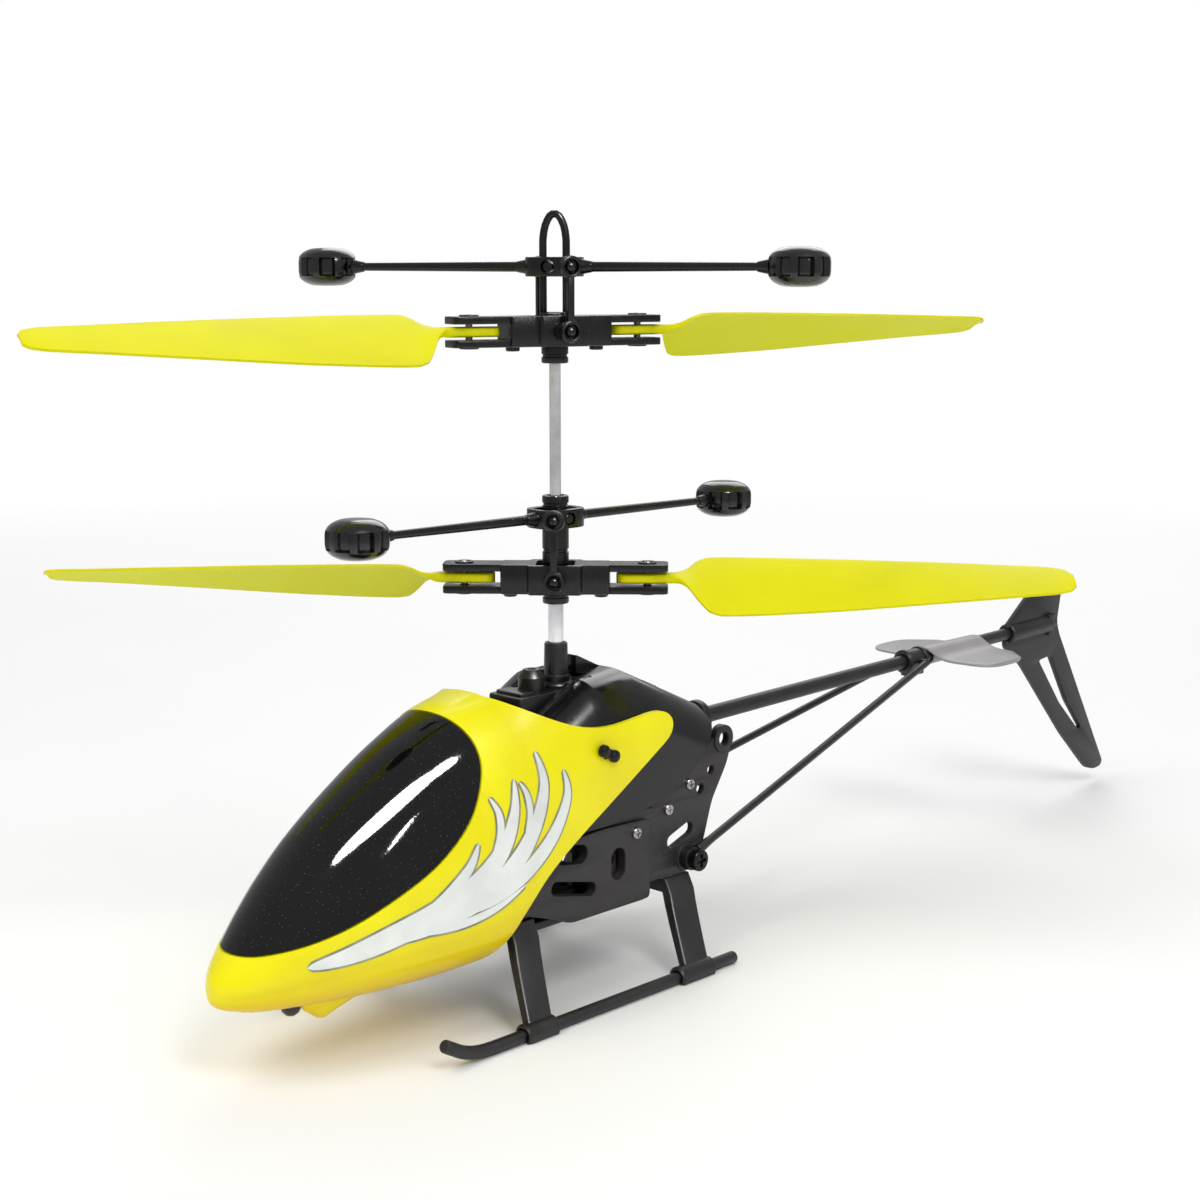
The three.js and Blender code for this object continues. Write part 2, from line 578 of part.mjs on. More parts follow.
const CLAMP_X = -98;
addTo(helicopter, 'strut_clamp', cut(
  join(
    boomSleeve(CLAMP_X + 3, CLAMP_X - 3, 0.75),
    box([CLAMP_X - 3, -1.1, boomZ(CLAMP_X) - 3.0], [CLAMP_X + 2, 1.1, boomZ(CLAMP_X) - 1.6]),
  ),
  boomBore(CLAMP_X + 3, CLAMP_X - 3),
), 'black');

const STRUT_FOOT = [STRUT_SCREW.x - 1.2, 12.5, STRUT_SCREW.z + 1.1];
const STRUT_TOP = [CLAMP_X - 1, 3.1, boomZ(CLAMP_X) - 0.2];
const onScrew = (y0, y1, r) => rod(
  [STRUT_SCREW.x, y0, STRUT_SCREW.z], [STRUT_SCREW.x, y1, STRUT_SCREW.z], r, r, 14,
);
const tailStrut = cut(
  join(
    onScrew(11.4, 13.0, 1.9),
    rod(STRUT_FOOT, STRUT_TOP, 0.7, 0.7, 10),
  ),
  onScrew(11, 14, 0.85),
);
const strutScrew = join(onScrew(8.8, 13.8, 0.55), onScrew(13.5, 14.6, 1.8));
addTo(helicopter, 'tail_strut_left', tailStrut, 'black');
addTo(helicopter, 'tail_strut_right', mirrorY(tailStrut), 'black');
addTo(helicopter, 'strut_screw_left', strutScrew, 'black');
addTo(helicopter, 'strut_screw_right', mirrorY(strutScrew), 'black');

const TAILPLANE_X = [-102, -121];
const TAILPLANE_DROP = 0.75;      // the fins leave the sleeve just below the boom's axis
const tailplaneShape = new THREE.Shape();
tailplaneShape.moveTo(TAILPLANE_X[0], 0);
tailplaneShape.lineTo(TAILPLANE_X[0] - 1.2, 11);
tailplaneShape.quadraticCurveTo(-103.8, 14.3, -107, 14.3);
tailplaneShape.lineTo(-113.6, 14.3);
tailplaneShape.quadraticCurveTo(-116, 14.3, -117.4, 12.2);
tailplaneShape.lineTo(-120.4, 8.5);
tailplaneShape.lineTo(TAILPLANE_X[1], 0);
const tailplaneHalf = flatPlate(tailplaneShape, -0.45, 0.45)
  .translate([0, 0, boomZ(-112) - TAILPLANE_DROP]);
addTo(helicopter, 'tailplane', cut(
  join(tailplaneHalf, mirrorY(tailplaneHalf), boomSleeve(TAILPLANE_X[0], TAILPLANE_X[1], 0.8)),
  boomBore(TAILPLANE_X[0], TAILPLANE_X[1]),
), 'black');

const finShape = outline([
  [-131.3, 27.6], [-139.8, 33.6], [-144.6, 36.2], [-152.8, 35.6], [-150.9, 26.6], [-151.9, 23.9],
  [-172.4, -7.9], [-171.6, -9.0], [-169.0, -9.3], [-165.9, -8.5], [-162.7, -5.8], [-154.7, 1.2],
  [-137.6, 18.7], [-131.0, 23.4],
]);
finShape.holes.push(outline([
  [-144.2, 18.8], [-148.8, 19.3], [-156.0, 8.4], [-162.4, 1.4], [-161.2, 1.2], [-153.0, 8.4],
]));
addTo(helicopter, 'tail_fin', cut(
  join(sidePlate(finShape, -0.6, 0.6), boomSleeve(-132, -149, 0.8)),
  boomBore(-132, -149.5),
), 'black');

// ---- Rotor heads --------------------------------------------------------------------------
const RING_HALF_HEIGHT = 1.5;
const FLYBAR_R = 38.5;
const EYE_OUT = 1.7;
const EYE_IN = 1.2;

// The swinging bar that carries both blades: a central frame round the hub, a solid block on each
// side, and an open fork at each end.
function bladeHolder(z) {
  const half = 2.35;
  const arm = (side) => {
    const span = (a, b) => (side > 0 ? [a, b] : [-b, -a]);
    const block = (range, halfY, z0, z1) => box([range[0], -halfY, z0], [range[1], halfY, z1]);
    const solidBlock = block(span(3, 8.6), 2.9, -half, half);
    const topPlate = block(span(8, 17.8), 2.4, 1.2, half);
    const bottomPlate = block(span(8, 17.8), 2.4, -half, -1.2);
    const screwHead = rod([side * 7.2, 0, -half - 0.7], [side * 7.2, 0, 0], 1.1, 1.1, 8);
    const trunnionBore = rod([side * 2, 0, 0], [side * 4.7, 0, 0], 1.15, 1.15, 8);
    const pinBore = rod([side * PIN_R, 0, -4], [side * PIN_R, 0, 4], 0.85, 0.85, 8);
    return cut(join(solidBlock, topPlate, bottomPlate, screwHead), trunnionBore, pinBore);
  };
  const rail = (side) => {
    const [near, far] = side > 0 ? [2.85, 3.95] : [-3.95, -2.85];
    return join(
      box([-4, near, -half], [4, far, half]),
      rod([0, side * 3.6, 0], [0, side * LINK_R, 0], 0.45, 0.45, 6),
      ball([0, side * LINK_R, 0], 0.9),
    );
  };
  return join(arm(1), arm(-1), rail(1), rail(-1)).translate([0, 0, z]);
}

// Turns about its own long axis against two stub trunnions on the hub.
function trunnions(z, reach, radius) {
  return [-1, 1].map((side) => rod([side * 1.85, 0, z], [side * reach, 0, z], radius, radius, 8));
}

// The weighted bar above the blades, drawn along x: a ring round the hub, two rods and two ball arms.
function flybar(z, armAngle) {
  const ring = flatPlate(roundedRect(4.4, 3.5, 3), -RING_HALF_HEIGHT, RING_HALF_HEIGHT, 3)
    .subtract(flatPlate(roundedRect(3.5, 2.4, 1.9), -2, 2, 3));
  const parts = [-1, 1].flatMap((side) => {
    const direction = [Math.cos(radians(armAngle)) * side, Math.sin(radians(armAngle)) * side];
    const at = (r) => [direction[0] * r, direction[1] * r, 0];
    return [
      rod([side * 4.0, 0, 0], [side * (FLYBAR_R - 1.5), 0, 0], 0.8, 0.6, 8),
      rod(at(3.8), at(LINK_R), 0.45, 0.45, 6),
      ball(at(LINK_R), 0.9),
    ];
  });
  const teeterBore = rod([0, -5, 0], [0, 5, 0], 1.1, 1.1, 8);
  return cut(join(ring, ...parts), teeterBore).translate([0, 0, z]);
}

function flybarWeight(z, side) {
  const body = turned([
    [0, -3.0], [2.6, -2.85], [4.1, -2.1], [4.7, -1.0], [4.7, 1.0], [4.1, 2.1], [2.6, 2.85], [0, 3.0],
  ], 20);
  const socket = rod([-6, 0, 0], [-0.8, 0, 0], 1.0, 0.95, 12);
  return turnZ(body.subtract(socket), side > 0 ? 0 : 180).translate([side * FLYBAR_R, 0, z]);
}

// An upright rod with a ball eye at each end, joining a flybar arm to the blade holder.
function ballLink(side, z0, z1) {
  const y = side * LINK_R;
  const eyes = [z0, z1].map((z) => rod([0, y - 0.55, z], [0, y + 0.55, z], EYE_OUT, EYE_OUT, 14));
  const holes = [z0, z1].map((z) => rod([0, y - 1, z], [0, y + 1, z], EYE_IN, EYE_IN, 12));
  return cut(join(...eyes, box([-0.5, y - 0.45, z0], [0.5, y + 0.45, z1])), ...holes);
}

// Blade stations: radius, leading edge, trailing edge (ahead and behind the blade line), pitch.
const BLADE_STATIONS = [
  [18.9, 1.6, -1.6, 2], [20.4, 2.8, -2.8, 12], [22.6, 4.8, -6.4, 25], [24.4, 5.3, -8.8, 28],
  [26.4, 5.4, -9.6, 28], [40, 5.3, -9.0, 26.5], [60, 5.0, -7.1, 22], [77, 4.3, -4.9, 18],
  [80.5, 3.1, -3.7, 18],
  [ROTOR_RADIUS, 1.2, -2.2, 18],
];
// The blade section: share of the chord behind the leading edge, and height above the chord line.
const BLADE_SECTION = [
  [0, 0], [0.12, 0.45], [0.4, 0.6], [1, 0.12], [1, -0.12], [0.4, -0.2], [0.12, -0.25],
];

// A blade reaching along +x, with its leading edge towards spin times +y.
function blade(z, side, spin) {
  const rings = BLADE_STATIONS.map(([radius, lead, trail, pitch]) => {
    const [c, s] = [Math.cos(radians(pitch)), Math.sin(radians(pitch))];
    return BLADE_SECTION.map(([share, height]) => {
      const along = lead + (trail - lead) * share;
      return [radius, spin * (along * c - height * s), along * s + height * c];
    });
  });
  const tongue = join(
    flatPlate(stadium([11.2, 0], [PIN_R, 0], 1.6), -0.8, 0.8, 3),
    box([PIN_R - 1, -1.3, -0.8], [20.2, 1.3, 0.8]),
  );
  const pinBore = rod([PIN_R, 0, -2], [PIN_R, 0, 2], 0.85, 0.85, 8);
  return turnZ(cut(join(loft(rings), tongue), pinBore), side > 0 ? 0 : 180).translate([0, 0, z]);
}

// A plain pin, just proud of the fork above and below.
function bladePin(z, side) {
  return rod([0, 0, -2.65], [0, 0, 2.65], 0.55, 0.55, 10).translate([side * PIN_R, 0, z]);
}

// The lower hub is a sleeve on the outer shaft; the upper hub is a socket on the inner shaft with
// two legs that rise through the flybar ring and meet in a loop.
function lowerHub(head) {
  const [bottom, top] = head.columnZ;
  const teeterStubs = trunnions(head.flybarZ, 3.35, 0.8).map((stub) => turnZ(stub, head.flybarTurn + 90));
  return cut(
    join(
      rod([0, 0, bottom], [0, 0, top], 2.1, 2.1, 16),
      ...trunnions(head.holderZ, 4.3, 0.85),
      ...teeterStubs,
    ),
    rod([0, 0, bottom - 1], [0, 0, top + 1], OUTER_SHAFT_R + 0.18, OUTER_SHAFT_R + 0.18, 16),
  );
}

function upperHub(head) {
  const [bottom, top] = head.columnZ;
  const loopPath = [
    [-1.9, 0, top - 1.5], [-1.9, 0, 104.6], [-1.75, 0, 106.4], [-1.15, 0, 108.2], [-0.4, 0, 109.1],
    [0.4, 0, 109.1], [1.15, 0, 108.2], [1.75, 0, 106.4], [1.9, 0, 104.6], [1.9, 0, top - 1.5],
  ];
  const loop = turnZ(bentRod(loopPath, 0.6, 10), head.flybarTurn);
  const bar = box([-2, -0.8, head.flybarZ - 1], [2, 0.8, head.flybarZ + 1]);
  const crossBar = turnZ(bar, head.flybarTurn);
  const teeterRod = rod([0, -3.35, head.flybarZ], [0, 3.35, head.flybarZ], 0.8, 0.8, 8);
  return cut(
    join(
      rod([0, 0, bottom], [0, 0, top], 2.1, 2.1, 16),
      ...trunnions(head.holderZ, 4.3, 0.85),
      loop,
      crossBar,
      turnZ(teeterRod, head.flybarTurn),
    ),
    rod([0, 0, bottom - 1], [0, 0, 90.0], INNER_SHAFT_R + 0.2, INNER_SHAFT_R + 0.2, 12),
  );
}

for (const head of [LOWER, UPPER]) {
  const group = new THREE.Group();
  group.rotation.z = radians(head.heading);
  helicopter.add(group);
  const flybarGroup = new THREE.Group();
  flybarGroup.rotation.z = radians(head.flybarTurn);
  group.add(flybarGroup);

  const add = (name, body, finish) => addTo(group, `${head.name}_${name}`, body, finish);
  add('hub', head === LOWER ? lowerHub(head) : upperHub(head), 'black');
  add('blade_holder', bladeHolder(head.holderZ), 'black');
  addTo(flybarGroup, `${head.name}_flybar`, flybar(head.flybarZ, head.flybarTurn), 'black');
  [['a', 1], ['b', -1]].forEach(([letter, side]) => {
    addTo(flybarGroup, `${head.name}_weight_${letter}`, flybarWeight(head.flybarZ, side), 'glossBlack');
    add(`link_${letter}`, ballLink(side, head.holderZ, head.flybarZ), 'black');
    add(`blade_${letter}`, blade(head.holderZ, side, head.spin), 'yellow');
    add(`blade_pin_${letter}`, bladePin(head.holderZ, side), 'steel');
  });
}

// Shafts and main gears. The outer shaft turns the lower rotor and the inner shaft the upper one.
addTo(helicopter, 'outer_shaft', cut(
  rod([0, 0, 26.0], [0, 0, 65.2], OUTER_SHAFT_R, OUTER_SHAFT_R, 20),
  rod([0, 0, 25], [0, 0, 66], OUTER_SHAFT_BORE, OUTER_SHAFT_BORE, 16),
), 'steel');
addTo(helicopter, 'inner_shaft', rod([0, 0, 2.4], [0, 0, 89.6], INNER_SHAFT_R, INNER_SHAFT_R, 16), 'steel');
addTo(helicopter, 'lower_main_gear', turnZ(mainGear(LOWER_GEAR_Z, OUTER_SHAFT_R + 0.15), 5), 'white');
addTo(helicopter, 'upper_main_gear', turnZ(mainGear(UPPER_GEAR_Z, INNER_SHAFT_R + 0.15), 5), 'white');

export default helicopter;
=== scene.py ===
"""Looks for a palm-size coaxial toy helicopter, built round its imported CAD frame.

Shapes are written in millimetres in the frame's own axes (+X nose, +Y left, +Z up, origin where the
rotor axis meets the belly plate) and become metres when their mesh is made.
"""
import json
import math

import bmesh
import bpy
from mathutils import Matrix, Vector


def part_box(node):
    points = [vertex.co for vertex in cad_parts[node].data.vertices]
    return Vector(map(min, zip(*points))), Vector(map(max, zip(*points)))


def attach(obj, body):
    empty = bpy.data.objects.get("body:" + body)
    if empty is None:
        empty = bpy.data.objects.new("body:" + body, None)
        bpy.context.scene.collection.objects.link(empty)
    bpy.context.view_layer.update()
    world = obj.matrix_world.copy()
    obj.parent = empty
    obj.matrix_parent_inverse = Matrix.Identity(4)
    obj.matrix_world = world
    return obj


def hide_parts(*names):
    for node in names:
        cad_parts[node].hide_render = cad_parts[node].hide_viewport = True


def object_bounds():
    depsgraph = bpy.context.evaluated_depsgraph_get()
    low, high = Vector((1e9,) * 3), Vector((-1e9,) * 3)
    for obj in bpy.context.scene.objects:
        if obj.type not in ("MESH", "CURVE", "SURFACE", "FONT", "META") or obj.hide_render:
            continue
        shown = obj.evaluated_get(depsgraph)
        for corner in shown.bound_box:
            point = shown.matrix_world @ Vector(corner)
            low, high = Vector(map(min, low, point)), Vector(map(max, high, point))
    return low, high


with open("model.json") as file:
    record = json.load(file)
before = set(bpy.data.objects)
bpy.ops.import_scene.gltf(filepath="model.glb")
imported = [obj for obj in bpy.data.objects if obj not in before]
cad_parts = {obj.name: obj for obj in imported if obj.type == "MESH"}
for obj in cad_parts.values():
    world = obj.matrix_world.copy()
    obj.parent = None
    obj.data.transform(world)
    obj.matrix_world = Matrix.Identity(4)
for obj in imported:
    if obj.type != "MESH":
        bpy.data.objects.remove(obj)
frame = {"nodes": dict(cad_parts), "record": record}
CAD_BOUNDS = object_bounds()

MM = 0.001
TAU = 2 * math.pi
DOUBLED = 0.002 * MM        # points closer together than this are one point


def in_scene(name, data):
    """A new object in the scene for a mesh, curve, light or camera."""
    holder = bpy.data.objects.new(name, data)
    bpy.context.scene.collection.objects.link(holder)
    return holder


# ---- Solids: a pair of lists, points in millimetres and faces ------------------------------------
def merged(*solids):
    """Several solids as one."""
    points, faces = [], []
    for more_points, more_faces in solids:
        start = len(points)
        points += more_points
        faces += [tuple(i + start for i in face) for face in more_faces]
    return points, faces


def moved(body, matrix):
    points, faces = body
    return [tuple(matrix @ Vector(point)) for point in points], faces


def shifted(body, x=0.0, y=0.0, z=0.0):
    return moved(body, Matrix.Translation((x, y, z)))


def turned(body, angle):
    """Turns a solid about the z axis by an angle in degrees."""
    return moved(body, Matrix.Rotation(math.radians(angle), 4, "Z"))


def mirrored(body):
    """The same solid on the other side of the centre plane."""
    points, faces = body
    return [(x, -y, z) for x, y, z in points], [tuple(reversed(face)) for face in faces]


def around(count):
    """The cosine and sine at each of a number of equal steps round a circle."""
    return [(math.cos(TAU * i / count), math.sin(TAU * i / count)) for i in range(count)]


def signed_power(value, power):
    """A power of a number's size that keeps its sign."""
    return math.copysign(abs(value) ** power, value)


def loft(rings):
    """Skins a row of equal rings of points and caps both ends."""
    count = len(rings[0])
    faces = []
    for k in range(len(rings) - 1):
        for i in range(count):
            a = k * count + i
            b = k * count + (i + 1) % count
            faces.append((a, b, b + count, a + count))
    last = (len(rings) - 1) * count
    faces.append(tuple(reversed(range(count))))
    faces.append(tuple(range(last, last + count)))
    return [point for ring in rings for point in ring], faces


def lathe(profile, sides=48, hollow=False):
    """A solid of revolution about z, from a profile of (radius, z). A hollow one has a closed profile
    that stays off the axis."""
    rings = [[(r * c, r * s, z) for c, s in around(sides)] for r, z in profile]
    if not hollow:
        return loft(rings)
    points, faces = loft(rings + rings[:1])
    return points, faces[:-2]


def round_edge(radius, level, edge, top):
    """Profile points that round the rim at one end of a rod."""
    sign = 1 if top else -1
    arc = [math.radians(a) for a in (0, 22, 45, 68, 90)]
    points = [
        (radius - edge + edge * math.cos(a), level - sign * (edge - edge * math.sin(a))) for a in arc
    ]
    points.append((0, level))
    return points if top else points[::-1]


def rod(start, end, radius, radius_end=None, edge=0.15, sides=32):
    """A round bar between two points, with softened rims and its own radius at each end."""
    radius_end = radius if radius_end is None else radius_end
    start, end = Vector(start), Vector(end)
    length = (end - start).length
    profile = round_edge(radius, 0, edge, False) + round_edge(radius_end, length, edge, True)
    turn = (end - start).to_track_quat("Z", "Y").to_matrix().to_4x4()
    return moved(lathe(profile, sides), Matrix.Translation(start) @ turn)


def ball(centre, radius, sides=28):
    arc = [math.pi * k / 14 for k in range(15)]
    profile = [(radius * math.sin(a), -radius * math.cos(a)) for a in arc]
    return shifted(lathe(profile, sides), *centre)


def tube(path, radius, sides=20):
    """A round bar along a path, with softened ends."""
    points = [Vector(point) for point in path]
    first = (points[1] - points[0]).normalized()
    last = (points[-1] - points[-2]).normalized()
    softening = [(0.0, 0.6), (0.15, 0.9), (0.35, 1.0)]
    places = [(points[0] + first * reach, share * radius) for reach, share in softening]
    places += [(point, radius) for point in points[1:-1]]
    places += [(points[-1] - last * reach, share * radius) for reach, share in reversed(softening)]
    side = first.orthogonal().normalized()
    rings = []
    for k, (point, size) in enumerate(places):
        before = places[max(k - 1, 0)][0]
        after = places[min(k + 1, len(places) - 1)][0]
        forward = (after - before).normalized()
        side = (side - forward * side.dot(forward)).normalized()
        up = forward.cross(side)
        rings.append([tuple(point + (side * c + up * s) * size) for c, s in around(sides)])
    return loft(rings)


def brick(low, high):
    """A plain block between two corners."""
    (x0, y0, z0), (x1, y1, z1) = low, high
    return loft([[(x0, y0, z), (x1, y0, z), (x1, y1, z), (x0, y1, z)] for z in (z0, z1)])


def filleted(points, radius, steps=5):
    """A polygon whose corners are rounded, each by no more than its sides allow."""
    rounded = []
    count = len(points)
    for k in range(count):
        before, corner, after = (Vector(points[(k + step) % count]) for step in (-1, 0, 1))
        into, out = before - corner, after - corner
        reach = min(radius, 0.45 * into.length, 0.45 * out.length)
        start, end = corner + into.normalized() * reach, corner + out.normalized() * reach
        for i in range(steps + 1):
            t = i / steps
            point = start * (1 - t) ** 2 + corner * 2 * t * (1 - t) + end * t ** 2
            rounded.append((point.x, point.y))
    return rounded


def circle(x, y, radius, sides=28):
    return [(x + radius * c, y + radius * s) for c, s in around(sides)]


def slot_outline(start, end, radius):
    """A long hole with round ends between two points."""
    heading = math.atan2(end[1] - start[1], end[0] - start[0])
    points = []
    for (x, y), turn in ((end, -0.25), (start, 0.25)):
        for i in range(13):
            angle = heading + TAU * (turn + i / 24)
            points.append((x + radius * math.cos(angle), y + radius * math.sin(angle)))
    return points


SIDE_VIEW = Matrix(((1, 0, 0, 0), (0, 0, -1, 0), (0, 1, 0, 0), (0, 0, 0, 1)))
Z_TO_Y = Matrix.Rotation(math.radians(90), 4, "X")


def plate(loops, low, high, edge=0.15, view=None):
    """A flat plate from an outline and its holes, with rounded edges. It lies between two heights, or
    between two distances from the centre plane when it is drawn in the side view (x, z)."""
    curve = bpy.data.curves.new("outline", "CURVE")
    curve.dimensions = "2D"
    curve.fill_mode = "BOTH"
    curve.extrude = (high - low) / 2 - edge
    curve.bevel_depth = edge
    curve.bevel_resolution = 1
    curve.offset = -edge
    for loop in loops:
        spline = curve.splines.new("POLY")
        spline.points.add(len(loop) - 1)
        for point, (a, b) in zip(spline.points, loop):
            point.co = (a, b, 0, 1)
        spline.use_cyclic_u = True
    holder = in_scene("outline", curve)
    bpy.context.view_layer.update()
    drawn = holder.to_mesh()
    points = [tuple(v.co) for v in drawn.vertices]
    faces = [tuple(p.vertices) for p in drawn.polygons]
    holder.to_mesh_clear()
    bpy.data.objects.remove(holder)
    bpy.data.curves.remove(curve)
    middle = (low + high) / 2
    if view is None:
        return shifted((points, faces), z=middle)
    return moved(shifted((points, faces), z=-middle), view)


# ---- Meshes and pieces ---------------------------------------------------------------------------
def mesh_of(body):
    """A solid as a mesh in metres, with doubled points merged and its faces turned outwards. A mesh
    stays as it is."""
    if isinstance(body, bpy.types.Mesh):
        return body
    points, faces = body
    mesh = bpy.data.meshes.new("piece")
    work = bmesh.new()
    corners = [work.verts.new(Vector(point) * MM) for point in points]
    for face in faces:
        try:
            work.faces.new([corners[i] for i in face])
        except ValueError:
            pass
    bmesh.ops.remove_doubles(work, verts=work.verts, dist=DOUBLED)
    bmesh.ops.dissolve_degenerate(work, edges=work.edges, dist=DOUBLED / 2)
    bmesh.ops.recalc_face_normals(work, faces=work.faces)
    work.to_mesh(mesh)
    work.free()
    return mesh


def combined(mesh, operation, *tools):
    """The mesh joined to, cut by or kept inside each of the tools, which are meshes or solids."""
    mesh = mesh_of(mesh)
    for tool in tools:
        base, cutter = in_scene("base", mesh), in_scene("cutter", mesh_of(tool))
        boolean = base.modifiers.new("boolean", "BOOLEAN")
        boolean.operation = operation
        boolean.solver = "EXACT"
        boolean.object = cutter
        bpy.context.view_layer.update()
        depsgraph = bpy.context.evaluated_depsgraph_get()
        mesh = bpy.data.meshes.new_from_object(base.evaluated_get(depsgraph))
        bpy.data.objects.remove(base)
        bpy.data.objects.remove(cutter)
    return mesh


def joined(first, *others):
    """Solids fused into one closed mesh."""
    return combined(first, "UNION", *others)


def cut(mesh, *tools):
    """A mesh or solid with each of the tools taken out of it."""
    return combined(mesh, "DIFFERENCE", *tools)


def placed(body, angle, z=0.0):
    """A mesh or solid turned about the mast by an angle in degrees and lifted."""
    mesh = mesh_of(body)
    mesh.transform(Matrix.Translation((0, 0, z * MM)) @ Matrix.Rotation(math.radians(angle), 4, "Z"))
    return mesh


def without_slivers(mesh):
    """Merges the doubled points and drops the sliver faces that joining and cutting leave."""
    work = bmesh.new()
    work.from_mesh(mesh)
    bmesh.ops.remove_doubles(work, verts=work.verts, dist=DOUBLED)
    bmesh.ops.dissolve_degenerate(work, edges=work.edges, dist=DOUBLED)
    work.to_mesh(mesh)
    work.free()
    mesh.validate()


def show(name, body_or_mesh, look, *stands_for, rides="airframe", sharp=32):
    """A finished piece: smooth except at its sharp edges, riding on its body, in place of the CAD
    nodes it stands for."""
    mesh = mesh_of(body_or_mesh)
    without_slivers(mesh)
    mesh.name = name
    mesh.polygons.foreach_set("use_smooth", [True] * len(mesh.polygons))
    mesh.set_sharp_from_angle(angle=math.radians(sharp))
    mesh.materials.clear()
    mesh.materials.append(LOOKS[look])
    piece = in_scene(name, mesh)
    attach(piece, rides)
    if stands_for:
        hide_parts(*stands_for)


def show_both(name, body, look, node=None):
    """A left piece and its mirror image, each in place of the CAD node of its side."""
    left = mesh_of(body)
    right = left.copy()
    right.transform(Matrix.Scale(-1, 4, (0, 1, 0)))
    right.flip_normals()
    for side, mesh in (("left", left), ("right", right)):
        nodes = [f"{node}_{side}"] if node else []
        show(f"{name}_{side}", mesh, look, *nodes)


def centre(node):
    """The middle of a CAD node's box, in millimetres."""
    low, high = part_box(node)
    return (low + high) / 2 / MM


def span(node):
    """The lowest and highest corner of a CAD node's box, in millimetres."""
    low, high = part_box(node)
    return low / MM, high / MM


def smooth_table(table, keys):
    """Rows read off smooth curves through the rows of a table, whose first column is the key."""
    def slope(k, column):
        if k in (0, len(table) - 1):
            a, b = (0, 1) if k == 0 else (k - 1, k)
            return (table[b][column] - table[a][column]) / (table[b][0] - table[a][0])
        left = (table[k][column] - table[k - 1][column]) / (table[k][0] - table[k - 1][0])
        right = (table[k + 1][column] - table[k][column]) / (table[k + 1][0] - table[k][0])
        return 0.0 if left * right <= 0 else 2 * left * right / (left + right)

    rows = []
    for key in keys:
        k = 0
        while k < len(table) - 2 and key > table[k + 1][0]:
            k += 1
        width = table[k + 1][0] - table[k][0]
        t = (key - table[k][0]) / width
        row = [key]
        for column in range(1, len(table[0])):
            value = table[k][column] * (2 * t ** 3 - 3 * t ** 2 + 1)
            value += slope(k, column) * width * (t ** 3 - 2 * t ** 2 + t)
            value += table[k + 1][column] * (3 * t ** 2 - 2 * t ** 3)
            value += slope(k + 1, column) * width * (t ** 3 - t ** 2)
            row.append(value)
        rows.append(row)
    return rows


# ---- Finishes ------------------------------------------------------------------------------------
def tone(display):
    """A display colour, 0 to 255, as the linear colour a shader takes."""
    shares = [value / 255 for value in display]
    linear = [s / 12.92 if s <= 0.04045 else ((s + 0.055) / 1.055) ** 2.4 for s in shares]
    return (*linear, 1.0)


